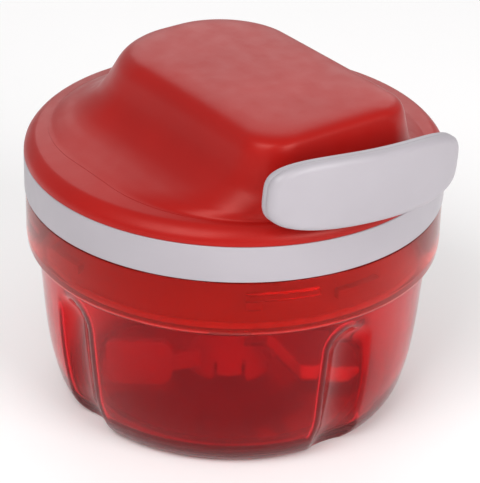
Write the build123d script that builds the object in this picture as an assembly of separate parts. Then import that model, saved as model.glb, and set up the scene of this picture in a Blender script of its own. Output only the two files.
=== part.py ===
from build123d import *
import math
import os

# Pull-cord food chopper: a footed bowl with a twist-on cover. Millimetres, +Z up.
# The origin is the middle of the bowl's resting face. The cord is pulled along +X.

# ---------------------------------------------------------------- driving dimensions
# Bowl
collar_radius = 61.7
collar_wall = 2.3
collar_height = 13.2
collar_step_height = 4.7
collar_bulge = 0.7
shoulder_step = 2.0
shoulder_rise = 0.8
wall_top_height = 48.5
wall_top_step = 1.3
base_inset = 11.0
# Points of the side wall: height, and how far inside the wall's top the outer face lies
wall_stations = ((6.2, 6.0), (18.0, 3.0), (31.0, 1.5))
bowl_wall = 2.1
floor_thickness = 3.6
floor_edge_inset = 3.4
ledge_thickness = 1.7

# Finger grooves in the bowl's wall
groove_count = 4
groove_width = 15.0
groove_depth = 3.0
groove_stop = 3.7
groove_bend_height = 12.0
groove_bend_inset = 0.9
groove_bend_radius = 14.0
groove_base_inset = 1.4
groove_run_out = 6.0

# Foot ring and blade spindle
foot_ring_inset = 5.4
foot_ring_width = 2.8
foot_ring_depth = 1.4
spindle_radius = 2.0
spindle_top = 34.0
spindle_end_gap = 1.0
spindle_boss_radius = 4.6
spindle_boss_height = 1.7

# Bayonet between bowl and cover
lug_count = 4
lug_angle = 14.0
lug_height = 2.6
lug_depth = 9.6
lug_gap = 0.3
twist_range = 20.0
twist_spare = 1.5
ramp_lead = 5.5
ramp_height = 2.2
ramp_depth = 1.4
stop_angle = 4.5

# Seal and cover base
seal_width = 2.2
seal_height = 1.6
seal_margin = 0.3
skirt_gap = 2.2
skirt_wall = 2.2
rim_gap = 0.3
band_overhang = 0.3
band_wall = 2.8
band_height = 11.0
deck_thickness = 2.2
deck_lift = 0.8

# Top cover: shallow dome with a raised back that holds the reel
cover_wall = 2.2
dome_edge_height = 1.5
dome_round = 3.0
dome_round_bulge = 1.05
dome_shoulder_height = 4.7
dome_middle_inset = 23.6
dome_middle_height = 7.5
dome_crown_height = 9.5
lip_wall = 2.8
lip_depth = 2.5
crown_room = 6.5
crown_rear = 24.0
crown_front = 38.5
crown_half_width = 17.0
crown_corner = 10.0
foot_height = 3.5
foot_side_inset = 10.0
foot_rear_inset = 5.5
foot_front_inset = 4.3
foot_corner_inset = 6.0
# Each station of the raised back, as shares of the way from its crown to its foot: the drop,
# then the spread of the outline at the sides, at the rear, at the front and of its corners
back_stations = (
    (0.0, 0.0, 0.0, 0.0, 0.0),
    (0.028, 0.113, 0.122, 0.222, 0.082),
    (0.088, 0.213, 0.237, 0.432, 0.155),
    (0.2, 0.288, 0.325, 0.574, 0.209),
    (0.4, 0.36, 0.434, 0.722, 0.26),
    (0.6, 0.444, 0.542, 0.846, 0.333),
    (0.74, 0.563, 0.678, 0.914, 0.485),
    (0.82, 0.703, 0.814, 0.951, 0.667),
    (0.892, 0.938, 0.966, 0.975, 0.939),
    (1.0, 1.0, 1.0, 1.0, 1.0),
)

# Lower cover
lower_cover_thickness = 1.8
lower_boss_wall = 2.8
lower_boss_drop = 3.7

# Screws
screw_radius = 1.5
screw_head_radius = 2.9
screw_head_height = 1.5
screw_head_round = 0.9
screw_slot_width = 0.8
screw_boss_radius = 3.2
cover_screw_inset = 12.5
cover_screw_length = 9.0
cover_screw_start = 45.0
lower_screw_inset = 8.5
lower_screw_length = 7.0
housing_screw_count = 3
housing_screw_start = 60.0
housing_screw_outset = 3.5
housing_screw_length = 7.5

# Reel and cord
cord_radius = 1.0
cord_turns = 3.5
cord_pitch = 2.5
cord_side_gap = 0.3
cord_seat_gap = 0.1
drum_radius = 16.0
drum_height = 11.4
flange_height = 5.0
flange_thickness = 1.4
drum_wall = 2.4
reel_gap = 0.3
reel_neck = 0.5
reel_sleeve_radius = 6.0
reel_spigot_radius = 4.5
axle_radius = 2.5
axle_boss_radius = 6.0
axle_boss_gap = 0.2
axle_end_gap = 0.3
axle_stand_out = 0.8
lead_gap = 0.3

# Recoil spring and its housing
housing_radius = 24.0
housing_wall = 1.6
housing_floor = 1.4
housing_height = 14.3
ear_margin = 0.8
ear_thickness = 2.0
spring_cover_thickness = 1.2
spring_cover_gap = 1.0
spring_strip = 0.5
spring_height = 10.0
spring_lift = 1.2
spring_gap = 0.25
spring_half_turns = 18
bush_wall = 3.0
bush_flange = 2.0
bush_flange_thickness = 1.0
bush_stand_out = 0.8

# One-way clutch and drive
carrier_radius = 13.2
carrier_thickness = 3.0
carrier_drop = 3.2
pawl_thickness = 2.8
pawl_pivot_inset = 2.7
pawl_pin_radius = 1.2
pawl_pin_stand_out = 0.3
pawl_reach_angle = 32.0
pawl_eye_radius = 2.3
pawl_tip_width = 1.5
pawl_tip_back = 0.4
pawl_floor_gap = 1.4
ratchet_teeth = 12
ratchet_crest_gap = 2.4
ratchet_depth = 1.9
ratchet_lead = 4.5
ratchet_root_gap = 0.8
ratchet_face_lean = 0.2
cup_wall = 3.5
cup_floor = 1.7
cup_top_gap = 2.1
drive_shaft_radius = 9.0
drive_shaft_drop = 6.3
socket_wall = 2.3
socket_depth = 7.0
dog_thickness = 2.4
dog_inner_radius = 3.6
clip_thickness = 0.8
clip_groove = 0.6
clip_width = 2.7
clip_mouth_gap = 0.2
washer_thickness = 0.5
washer_radius = 6.0
end_play = 0.1

# Blade unit, drawn along its own axes and then turned by the angle at which it is parked
park_angle = 53.0
bell_radius = 13.0
bell_bottom = 6.0
bell_wall = 2.0
bell_depth = 5.5
hub_profile = ((12.3, 10.0), (9.5, 14.5), (7.4, 20.0), (6.2, 27.0))  # (radius, height)
post_radius = 5.4
post_gap = 0.5
sleeve_radius = 3.9
tongue_thickness = 2.6
tongue_side_gap = 1.3
tongue_end_gap = 1.1
tongue_lead = 46.0
snap_tab_width = 7.5
snap_slot_width = 1.4
snap_slot_height = 6.6
snap_tab_rise = 2.2
paddle_side_gap = 0.7
paddle_inner_gap = 4.3
paddle_outer_gap = 9.8
paddle_bottom = 5.6
paddle_top = 20.5
paddle_corner = 4.0
paddle_thickness = 2.2
paddle_root_inset = 4.4
neck_bottom = 9.7
neck_top = 15.2
blade_thickness = 1.2
blade_root_gap = 0.4
lower_blade_level = 5.0
lower_blade_root_level = 17.6
lower_blade_bend_start = 11.0
lower_blade_bend_end = 22.0
lower_blade_wall_gap = 6.9
lower_blade_near = 10.7
lower_blade_width = 8.2
upper_blade_level = 21.0
upper_blade_angle = 140.0
upper_blade_width = 9.5
upper_blade_wall_gap = 12.4
upper_blade_curve = 62.0

# Handle
handle_reach = 5.0
handle_half_length = 34.6
handle_half_height = 10.2
handle_outline_power = 3.0
handle_curve_radius = 80.0
handle_thickness = 5.2
handle_front_thickness = 2.5
handle_edge_round = 1.5
handle_roll = -6.4
neck_radius = 4.5
neck_gap = 0.3
outlet_pad_radius = 3.5
outlet_pad_depth = 6.5
outlet_pad_gap = 6.7
eyelet_radius = 2.2
eyelet_flange_radius = 2.9
eyelet_flange_thickness = 0.8
eyelet_bore_gap = 0.5
eyelet_bore_round = 0.5
cord_bend_gap = 9.0
cord_split_gap = 1.0
stopper_radius = 2.5
stopper_length = 3.4
stopper_round = 0.6

# Clearances
running_gap = 0.06
seat_gap = 0.05
press_gap = 0.02
loose_gap = 0.2
same_size = 0.01

# ---------------------------------------------------------------- places worked out from these
LOW = (Align.CENTER, Align.CENTER, Align.MIN)

# Bowl
shoulder_radius = collar_radius - shoulder_step
wall_top_radius = shoulder_radius - wall_top_step
base_radius = wall_top_radius - base_inset
shoulder_height = wall_top_height + shoulder_rise
collar_start_height = shoulder_height + collar_step_height
collar_top = collar_start_height + collar_height
ledge_height = shoulder_height + ledge_thickness
inner_collar_radius = collar_radius - collar_wall
inner_wall_top_radius = wall_top_radius - bowl_wall
lug_bottom = collar_top - lug_depth
foot_ring_radius = base_radius - foot_ring_inset

# Cover base
skirt_radius = inner_collar_radius - skirt_gap
skirt_inner_radius = skirt_radius - skirt_wall
skirt_bottom = ledge_height + seal_height
lug_radius = inner_collar_radius - lug_gap
band_radius = collar_radius + band_overhang
band_bottom = collar_top + rim_gap
band_top = band_bottom + band_height
deck_bottom = band_bottom + deck_lift
deck_top = deck_bottom + deck_thickness
cover_screw_circle = band_radius - cover_screw_inset
lower_screw_circle = skirt_inner_radius - lower_screw_inset

# Recoil housing, reel and axle, from the deck up
bush_inner_radius = reel_sleeve_radius + running_gap
bush_outer_radius = bush_inner_radius + bush_wall
bush_flange_radius = bush_outer_radius + bush_flange
housing_screw_circle = housing_radius + housing_screw_outset
housing_top = deck_top + housing_height
spring_cover_top = housing_top + spring_cover_thickness
lower_flange_bottom = spring_cover_top + reel_gap
drum_bottom = lower_flange_bottom + flange_thickness
drum_top = drum_bottom + drum_height
upper_flange_top = drum_top + flange_thickness
reel_top = upper_flange_top + reel_neck
axle_boss_bottom = reel_top + axle_boss_gap
cord_height = drum_bottom + 0.5 * drum_height
flange_radius = drum_radius + flange_height
wound_radius = drum_radius + cord_radius + cord_seat_gap
first_turn_height = drum_bottom + cord_radius + cord_side_gap

# Top cover
cover_rim = band_top
crown_height = upper_flange_top + crown_room
dome_shoulder_radius = band_radius - dome_round
foot_level = cover_rim + foot_height
foot_half_width = dome_shoulder_radius - foot_side_inset

# Clutch and drive, from the deck down
carrier_top = deck_bottom - carrier_drop
carrier_bottom = carrier_top - carrier_thickness
pawl_top = carrier_bottom - loose_gap
pawl_bottom = pawl_top - pawl_thickness
cup_floor_top = pawl_bottom - pawl_floor_gap
cup_floor_bottom = cup_floor_top - cup_floor
cup_top = deck_bottom - cup_top_gap
lower_cover_top = cup_floor_bottom - loose_gap
lower_cover_bottom = lower_cover_top - lower_cover_thickness
drive_bore_radius = drive_shaft_radius + running_gap
drive_shaft_bottom = lower_cover_bottom - drive_shaft_drop
socket_radius = drive_shaft_radius - socket_wall
pawl_pivot_radius = carrier_radius - pawl_pivot_inset
ratchet_crest_radius = carrier_radius + ratchet_crest_gap
ratchet_root_radius = ratchet_crest_radius + ratchet_depth
pawl_reach_radius = ratchet_root_radius - ratchet_root_gap
cup_radius = ratchet_root_radius + cup_wall
washer_bottom = carrier_bottom - end_play - washer_thickness
clip_bottom = washer_bottom - 0.5 * end_play - clip_thickness
clip_inner_radius = axle_radius - clip_groove
clip_radius = clip_inner_radius + clip_width
axle_bottom = clip_bottom - axle_stand_out

# Blade unit
post_top = drive_shaft_bottom - post_gap
tongue_half_width = socket_radius - tongue_side_gap
tongue_top = drive_shaft_bottom + socket_depth - tongue_end_gap
paddle_offset = bell_radius + paddle_side_gap
paddle_inner = bell_radius + paddle_inner_gap
paddle_outer = base_radius - paddle_outer_gap
lower_blade_reach = base_radius - lower_blade_wall_gap
upper_blade_reach = wall_top_radius - upper_blade_wall_gap

# Handle and cord
handle_front_x = band_radius + handle_reach
pocket_x = handle_front_x - handle_front_thickness
outlet_pad_x = handle_front_x - handle_thickness - outlet_pad_gap
cord_bend_x = outlet_pad_x - cord_bend_gap
cord_split_x = outlet_pad_x - cord_split_gap
eyelet_bore_radius = cord_radius + eyelet_bore_gap


# ---------------------------------------------------------------- shared shapes
def disc(radius, bottom, top):
    """Upright cylinder on the vertical axis."""
    return Pos(0, 0, bottom) * Cylinder(radius, top - bottom, align=LOW)


def ring(outer_radius, inner_radius, bottom, top):
    """Upright ring on the vertical axis."""
    return disc(outer_radius, bottom, top) - disc(inner_radius, bottom, top)


def polar(radius, angle, height=0.0):
    """Place at a radius and an angle about the vertical axis, turned to face outwards."""
    return Rot(0, 0, angle) * Pos(radius, 0, height)


def around(count, start=0.0):
    """Angles of evenly spaced copies about the vertical axis."""
    return [start + index * 360.0 / count for index in range(count)]


def upright(radius, height):
    """Point of a section that is turned about the vertical axis."""
    return (radius, 0.0, height)


def turned(edges):
    """Solid of revolution of a closed chain of edges drawn with upright()."""
    return Rot(0, 0, 45) * revolve(make_face(edges), Axis.Z)


def bulged(start, end, bulge):
    """Arc between two points of a section that swells out to the right of its way."""
    run = Vector(end) - Vector(start)
    out = Vector(run.Z, 0, -run.X).normalized()
    return ThreePointArc(start, (Vector(start) + Vector(end)) * 0.5 + out * bulge, end)


def sector(outer_radius, inner_radius, bottom, top, start_angle, end_angle):
    """Part of a ring between two angles about the vertical axis."""
    section = make_face(
        Polyline(
            upright(inner_radius, bottom),
            upright(outer_radius, bottom),
            upright(outer_radius, top),
            upright(inner_radius, top),
            close=True,
        )
    )
    return Rot(0, 0, start_angle) * revolve(section, Axis.Z, revolution_arc=end_angle - start_angle)


def screw(length):
    """Pan-head screw pointing up, with the underside of its head at z = 0."""
    shank = disc(screw_radius, 0, length)
    head = disc(screw_head_radius, -screw_head_height, 0)
    head = fillet(head.edges().sort_by(Axis.Z)[0], screw_head_round)
    slot = Box(1.4 * screw_head_radius, screw_slot_width, screw_slot_width)
    recess = Pos(0, 0, -screw_head_height) * (slot + Rot(0, 0, 90) * slot)
    return shank + head - recess


# ---------------------------------------------------------------- bowl
def groove_tool(radius):
    """Rounded channel that follows the bowl's wall from its base, and the arch at its top."""
    axis_radius = 0.5 * (0.25 * groove_width**2 + groove_depth**2) / groove_depth
    stand_off = axis_radius - groove_depth
    low_height, low_inset = wall_stations[1]
    low_radius = wall_top_radius - low_inset
    arch_height = wall_top_height - groove_stop - 0.5 * groove_width
    lean = low_inset / (wall_top_height - low_height)
    arch_x = low_radius + lean * (arch_height - low_height) + stand_off
    path = FilletPolyline(
        upright(arch_x, arch_height),
        upright(low_radius - groove_bend_inset + stand_off, groove_bend_height),
        upright(base_radius - groove_base_inset + stand_off, -groove_run_out),
        radius=groove_bend_radius,
    )
    start = Plane(origin=path @ 0, z_dir=path % 0)
    full_radius = axis_radius + radius
    channel = sweep(start * Circle(full_radius), path=path)
    cap = Location(start) * Rot(180, 0, 0) * Sphere(full_radius, arc_size1=0, align=LOW)
    return [channel, cap]


def wall_curve(inset, first_point):
    """Side wall of the bowl, moved inwards by an inset, from a first point to the wall's top."""
    outer = [(wall_top_radius - station_inset, height) for height, station_inset in wall_stations]
    points = [upright(radius - inset, height) for radius, height in outer]
    top = upright(wall_top_radius - inset, wall_top_height)
    return Spline(first_point, *points, top)


def bayonet_ramps():
    """Inward ramps of the collar, each with a stop that ends the twist."""
    half_lug = 0.5 * lug_angle
    ramp_bottom = lug_bottom + lug_height + loose_gap
    inner = inner_collar_radius - ramp_depth
    outer = inner_collar_radius + 0.5 * collar_wall
    ramp_start = -half_lug - ramp_lead
    stop_start = -half_lug - twist_range - twist_spare
    ramps = None
    for angle in around(lug_count):
        end = angle + stop_start - stop_angle
        ramp = sector(outer, inner, ramp_bottom, ramp_bottom + ramp_height, end, angle + ramp_start)
        stop = sector(outer, inner, lug_bottom, ramp_bottom, end, angle + stop_start)
        piece = ramp + stop
        ramps = piece if ramps is None else ramps + piece
    return ramps


def bowl():
    """Clear tinted bowl: grooved wall, stepped collar, bayonet ramps and spindle boss."""
    outer_base = upright(base_radius, 0)
    collar_low = upright(collar_radius, collar_start_height)
    shoulder = upright(shoulder_radius, shoulder_height)
    body = turned(
        [
            Line(upright(0, 0), outer_base),
            wall_curve(0.0, outer_base),
            Line(upright(wall_top_radius, wall_top_height), shoulder),
            bulged(shoulder, collar_low, collar_bulge),
            Line(collar_low, upright(collar_radius, collar_top)),
            Line(upright(collar_radius, collar_top), upright(0, collar_top)),
            Line(upright(0, collar_top), upright(0, 0)),
        ]
    )
    floor_edge = upright(base_radius - floor_edge_inset, floor_thickness)
    inner_top = upright(inner_wall_top_radius, wall_top_height)
    hollow = turned(
        [
            Line(upright(0, floor_thickness), floor_edge),
            wall_curve(bowl_wall, floor_edge),
            Line(inner_top, upright(inner_wall_top_radius, ledge_height)),
            Line(upright(inner_wall_top_radius, ledge_height), upright(0, ledge_height)),
            Line(upright(0, ledge_height), upright(0, floor_thickness)),
        ]
    )
    for angle in around(groove_count):
        for tool in groove_tool(0.0):
            body -= Rot(0, 0, angle) * tool
        for tool in groove_tool(bowl_wall):
            hollow -= Rot(0, 0, angle) * tool
    body -= hollow
    body -= disc(inner_collar_radius, ledge_height, collar_top)
    body += bayonet_ramps()
    body += disc(spindle_boss_radius, 0.5 * floor_thickness, floor_thickness + spindle_boss_height)
    body -= disc(spindle_radius, 0.5 * floor_thickness, spindle_top)
    half_width = 0.5 * foot_ring_width + seat_gap
    body -= ring(foot_ring_radius + half_width, foot_ring_radius - half_width, 0, foot_ring_depth)
    return body


def foot_ring():
    """Soft ring let into the bowl's base."""
    half_width = 0.5 * foot_ring_width
    return ring(foot_ring_radius + half_width, foot_ring_radius - half_width, 0, foot_ring_depth)


def spindle_pin():
    """Steel pin moulded into the bowl's floor, on which the blade unit turns."""
    pin = disc(spindle_radius, 0.5 * floor_thickness, spindle_top)
    return chamfer(pin.edges().sort_by(Axis.Z)[-1], 0.25 * spindle_radius)


# ---------------------------------------------------------------- blade unit
def blade_hub():
    """Hollow bell with snap tabs, a post up to the drive tongue, and a bore for the spindle."""
    bottom = floor_thickness + spindle_boss_height + loose_gap
    points = [upright(bell_radius, bell_bottom)]
    points += [upright(radius, height) for radius, height in hub_profile]
    points.append(upright(post_radius, post_top))
    body = turned(
        [
            Line(upright(0, bell_bottom), points[0]),
            Spline(*points),
            Line(points[-1], upright(0, post_top)),
            Line(upright(0, post_top), upright(0, bell_bottom)),
        ]
    )
    body -= ring(bell_radius - bell_wall, sleeve_radius, bell_bottom, bell_bottom + bell_depth)
    body += disc(sleeve_radius, bottom, bell_bottom + bell_depth)
    for angle in around(4, 90.0):
        body -= Rot(0, 0, angle) * snap_slots()
    tongue = Box(2 * tongue_half_width, tongue_thickness, tongue_top - post_top, align=LOW)
    body += Rot(0, 0, tongue_lead - park_angle) * Pos(0, 0, post_top) * tongue
    body -= disc(spindle_radius + running_gap, bottom, spindle_top + spindle_end_gap)
    body -= blade_slots()
    return Rot(0, 0, park_angle) * body


def snap_slots():
    """Two slots and a shortened edge that free one snap tab of the bell."""
    reach = 2.0 * bell_wall
    middle = bell_radius - 0.5 * bell_wall
    width = snap_tab_width + 2 * snap_slot_width
    tool = Pos(middle, 0, bell_bottom) * Box(reach, width, snap_tab_rise, align=LOW)
    for side in (-1, 1):
        offset = side * 0.5 * (snap_tab_width + snap_slot_width)
        slot = Box(reach, snap_slot_width, snap_slot_height, align=LOW)
        tool += Pos(middle, offset, bell_bottom) * slot
    return tool


def lower_blade_shape():
    """Blade that leaves the hub high, bends down and runs just above the floor."""
    root = sleeve_radius + blade_root_gap
    path = (
        (root, lower_blade_root_level),
        (lower_blade_bend_start, lower_blade_root_level),
        (lower_blade_bend_end, lower_blade_level),
        (lower_blade_reach, lower_blade_level),
    )
    lower = [(x, -lower_blade_near, z) for x, z in path]
    upper = [(x, -lower_blade_near, z + blade_thickness) for x, z in reversed(path)]
    section = make_face(Polyline(*lower, *upper, close=True))
    blade = extrude(section, amount=lower_blade_width, dir=(0, 1, 0))
    tip = Pos(lower_blade_reach, -lower_blade_near, 0) * Rot(0, 0, 45)
    size = 0.9 * lower_blade_width
    return blade - tip * Box(size, size, 2.0 * bell_radius)


def upper_blade_shape():
    """Sickle blade that leaves the hub level and curves back as it goes out."""
    half = 0.5 * upper_blade_width
    sweep_back = Pos(0, -upper_blade_curve, upper_blade_level)
    outer = Cylinder(upper_blade_curve + half, blade_thickness, align=LOW)
    inner = Cylinder(upper_blade_curve - half, blade_thickness, align=LOW)
    arc = sweep_back * (outer - inner)
    root = sleeve_radius + blade_root_gap
    length = upper_blade_reach - root
    window = Box(length, 2.0 * upper_blade_reach, 4.0 * blade_thickness)
    arc = arc & Pos(root + 0.5 * length, 0, upper_blade_level) * window
    arc = arc & disc(upper_blade_reach, 0.5 * upper_blade_level, 2.0 * upper_blade_level)
    arc = arc & Box(4.0 * upper_blade_reach, upper_blade_curve, 4.0 * upper_blade_level)
    return Rot(0, 0, upper_blade_angle) * arc


def blade_slots():
    """Room in the hub for the roots of both blades."""
    return lower_blade_shape() + upper_blade_shape()


def lower_blade():
    """Lower blade in its place."""
    return Rot(0, 0, park_angle) * lower_blade_shape()


def upper_blade():
    """Upper blade in its place."""
    return Rot(0, 0, park_angle) * upper_blade_shape()


def mixing_paddle():
    """Upright paddle carried beside the bell by a short neck."""
    length = paddle_outer - paddle_inner
    height = paddle_top - paddle_bottom
    middle = -0.5 * (paddle_outer + paddle_inner)
    plate = Pos(middle, -paddle_offset, paddle_bottom) * Box(length, paddle_thickness, height, align=LOW)
    corners = plate.edges().filter_by(Axis.Y)
    plate = fillet(corners, paddle_corner)
    neck_start = Vector(paddle_root_inset - bell_radius, paddle_root_inset - bell_radius, 0)
    neck_end = Vector(-paddle_inner - paddle_corner, -paddle_offset, 0)
    run = neck_end - neck_start
    angle = math.degrees(math.atan2(run.Y, run.X))
    centre = (neck_start + neck_end) * 0.5
    bar = Box(run.length, paddle_thickness, neck_top - neck_bottom, align=LOW)
    neck = Pos(centre.X, centre.Y, neck_bottom) * Rot(0, 0, angle) * bar
    paddle = plate + neck
    keep_out = disc(bell_radius + seat_gap, 0, 2.0 * neck_top)
    return Rot(0, 0, park_angle) * (paddle - keep_out)


# ---------------------------------------------------------------- seal and cover base
def seal_ring():
    """Soft ring on the bowl's ledge, under the cover's skirt."""
    outer = skirt_radius + seal_margin
    return ring(outer, outer - seal_width, ledge_height, ledge_height + seal_height)


def cover_base():
    """White base of the cover: outer band, deck, inner skirt with its bayonet lugs, and posts."""
    body = ring(band_radius, band_radius - band_wall, band_bottom, band_top)
    body += disc(band_radius - 0.5 * band_wall, deck_bottom, deck_top)
    body += ring(skirt_radius, skirt_inner_radius, skirt_bottom, deck_bottom)
    for angle in around(lug_count):
        half = 0.5 * lug_angle
        top = lug_bottom + lug_height
        inner = skirt_radius - 0.5 * skirt_wall
        body += sector(lug_radius, inner, lug_bottom, top, angle - half, angle + half)
    for angle in around(4):
        body += polar(lower_screw_circle, angle) * disc(screw_boss_radius, lower_cover_top, deck_bottom)
    for angle in around(housing_screw_count, housing_screw_start):
        bottom = deck_top + ear_thickness - housing_screw_length
        body += polar(housing_screw_circle, angle) * disc(screw_boss_radius, bottom, deck_bottom)
    for angle in around(4):
        hole = disc(screw_radius, lower_cover_bottom, lower_cover_bottom + lower_screw_length)
        body -= polar(lower_screw_circle, angle) * hole
    for angle in around(4, cover_screw_start):
        body -= polar(cover_screw_circle, angle) * disc(screw_radius + loose_gap, deck_bottom, deck_top)
    for angle in around(housing_screw_count, housing_screw_start):
        bottom = deck_top + ear_thickness - housing_screw_length
        body -= polar(housing_screw_circle, angle) * disc(screw_radius, bottom, deck_top)
    return body - disc(bush_outer_radius + seat_gap, deck_bottom, deck_top)


def lower_cover():
    """Disc that closes the skirt from below, with the bearing of the drive shaft."""
    body = disc(skirt_inner_radius - loose_gap, lower_cover_bottom, lower_cover_top)
    boss_radius = drive_bore_radius + lower_boss_wall
    body += disc(boss_radius, lower_cover_bottom - lower_boss_drop, lower_cover_top)
    body -= disc(drive_bore_radius, lower_cover_bottom - lower_boss_drop, lower_cover_top)
    for angle in around(4):
        hole = disc(screw_radius + loose_gap, lower_cover_bottom, lower_cover_top)
        body -= polar(lower_screw_circle, angle) * hole
    return body


def lower_cover_screws():
    """Four screws that hold the lower cover to the posts of the cover base."""
    return [polar(lower_screw_circle, angle, lower_cover_bottom) * screw(lower_screw_length)
            for angle in around(4)]


# ---------------------------------------------------------------- top cover
def dome(inset):
    """Shallow dome, moved inwards and down by an inset."""
    rim = cover_rim if inset == 0.0 else cover_rim - cover_wall
    edge_low = upright(band_radius - inset, rim)
    edge_top = upright(band_radius - inset, cover_rim + dome_edge_height - 0.4 * inset)
    shoulder = upright(dome_shoulder_radius - inset, cover_rim + dome_shoulder_height - inset)
    middle = upright(band_radius - dome_middle_inset - dome_round, cover_rim + dome_middle_height - inset)
    crown = upright(0, cover_rim + dome_crown_height - inset)
    return turned(
        [
            Line(upright(0, rim), edge_low),
            Line(edge_low, edge_top),
            bulged(edge_top, shoulder, dome_round_bulge),
            ThreePointArc(shoulder, middle, crown),
            Line(crown, upright(0, rim)),
        ]
    )


def raised_back(inset):
    """Raised back of the cover, lofted down its stations and moved inwards by an inset."""
    side_spread = foot_half_width - crown_half_width
    rear_spread = dome_shoulder_radius - foot_rear_inset - crown_rear
    front_spread = dome_shoulder_radius - foot_front_inset - crown_front
    corner_spread = foot_half_width - foot_corner_inset - crown_corner
    sections = []
    for drop, side, rear, front, corner in back_stations:
        rear_x = crown_rear + rear * rear_spread - inset
        front_x = crown_front + front * front_spread - inset
        width = 2.0 * (crown_half_width + side * side_spread - inset)
        radius = crown_corner + corner * corner_spread - 0.5 * inset
        level = crown_height - drop * (crown_height - foot_level) - inset
        outline = RectangleRounded(front_x + rear_x, width, radius)
        sections.append(Pos(0.5 * (front_x - rear_x), 0, level) * outline)
    return loft(sections)


def top_cover():
    """Red shell: dome and raised back, with the axle's boss, the screw bosses and cord outlet."""
    outlet = Pos(outlet_pad_x, 0, cord_height) * Rot(0, -90, 0)
    body = dome(0.0) + raised_back(0.0)
    body += outlet * Cylinder(outlet_pad_radius, outlet_pad_depth, align=LOW)
    hollow = dome(cover_wall) + raised_back(cover_wall)
    body -= hollow
    lip_radius = band_radius - band_wall - seat_gap
    lip_top = cover_rim + dome_shoulder_height - 0.55 * cover_wall
    body += ring(lip_radius, lip_radius - lip_wall, cover_rim - lip_depth, lip_top)
    body += disc(axle_boss_radius, axle_boss_bottom, crown_height - 0.5 * cover_wall)
    body -= disc(axle_radius + press_gap, axle_boss_bottom, crown_height - cover_wall)
    for angle in around(4, cover_screw_start):
        boss_top = cover_rim + dome_shoulder_height + 0.25 * cover_wall
        place = polar(cover_screw_circle, angle)
        body += place * disc(screw_boss_radius, deck_top, boss_top)
        body -= place * disc(screw_radius, deck_top, deck_bottom + cover_screw_length)
    body -= outlet * Cylinder(eyelet_radius + press_gap, 3.0 * outlet_pad_depth)
    return body


def cover_screws():
    """Four screws that hold the top cover to the deck from below."""
    return [polar(cover_screw_circle, angle, deck_bottom) * screw(cover_screw_length)
            for angle in around(4, cover_screw_start)]


def cord_eyelet():
    """Flanged metal eye that guides the cord out of the cover."""
    place = Pos(outlet_pad_x + eyelet_flange_thickness, 0, cord_height) * Rot(0, -90, 0)
    length = outlet_pad_depth
    eye = Cylinder(eyelet_radius, length, align=LOW)
    eye += Cylinder(eyelet_flange_radius, eyelet_flange_thickness, align=LOW)
    eye -= Cylinder(eyelet_bore_radius, 3.0 * length)
    mouth = eye.edges().filter_by(GeomType.CIRCLE).sort_by(Axis.Z)
    bore_edges = [edge for edge in mouth if abs(edge.radius - eyelet_bore_radius) < same_size]
    eye = fillet(bore_edges, eyelet_bore_round)
    return place * eye


# ---------------------------------------------------------------- reel
def reel_axle():
    """Steel axle pressed into the top cover, with a groove for its clip."""
    top = crown_height - cover_wall - axle_end_gap
    axle = disc(axle_radius, axle_bottom, top)
    groove_top = clip_bottom + clip_thickness
    return axle - ring(2.0 * axle_radius, clip_inner_radius, clip_bottom, groove_top)


def axle_clip():
    """Open clip that stops the reel from sliding off its axle."""
    clip = ring(clip_radius, clip_inner_radius + press_gap, clip_bottom, clip_bottom + clip_thickness)
    mouth = Box(2.0 * clip_radius, 2.0 * (clip_inner_radius - clip_mouth_gap), 4.0 * clip_thickness)
    return clip - Pos(clip_radius, 0, clip_bottom) * mouth


def thrust_washer():
    """Washer between the clip and the pawl carrier."""
    return ring(washer_radius, axle_radius + running_gap, washer_bottom,
                washer_bottom + washer_thickness)


def cord_reel():
    """Reel with two flanges, a cored drum and a sleeve down through the spring and the deck."""
    reel = disc(flange_radius, lower_flange_bottom, upper_flange_top)
    reel -= ring(flange_radius, drum_radius, drum_bottom, drum_top)
    core_outer = drum_radius - drum_wall
    core_inner = reel_sleeve_radius + drum_wall
    reel -= ring(core_outer, core_inner, lower_flange_bottom, drum_top - drum_wall)
    reel += disc(reel_sleeve_radius, carrier_top, reel_top)
    reel += disc(reel_spigot_radius, carrier_bottom, carrier_top)
    return reel - disc(axle_radius + running_gap, carrier_bottom, reel_top)


def exit_angle():
    """Angle about the reel's axis at which the cord leaves the drum."""
    return -math.degrees(math.acos(wound_radius / cord_bend_x))


def helix_point(turn):
    """Point of the wound cord, counted back in turns from where it leaves the drum."""
    angle = math.radians(exit_angle() - 360.0 * turn)
    height = first_turn_height + cord_pitch * turn
    return Vector(wound_radius * math.cos(angle), wound_radius * math.sin(angle), height)


def tube(path):
    """Cord of full thickness along a path."""
    return sweep(Plane(origin=path @ 0, z_dir=path % 0) * Circle(cord_radius), path=path)


def least_turn_gap():
    """Least gap between one turn of the wound cord and the next, measured on points."""
    count = 120
    points = [helix_point(index / count) for index in range(int(cord_turns * count) + 1)]
    gaps = []
    for index, point in enumerate(points):
        gaps += [(other - point).length for other in points[index + count // 2:]]
    return min(gaps) - 2.0 * cord_radius


def cord_winding():
    """Cord wound on the drum in one layer, as arcs of a quarter turn."""
    arcs = []
    for index in range(int(round(4 * cord_turns))):
        start = helix_point(index / 4.0)
        middle = helix_point((index + 0.5) / 4.0)
        end = helix_point((index + 1.0) / 4.0)
        arcs.append(ThreePointArc(start, middle, end))
    path = Wire(arcs)
    winding = tube(path)
    print("cord_winding: radius", round(wound_radius, 2), "least gap to itself", round(least_turn_gap(), 2))
    print("cord_winding: volume share", round(winding.volume / (path.length * math.pi * cord_radius**2), 3))
    return winding


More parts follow.
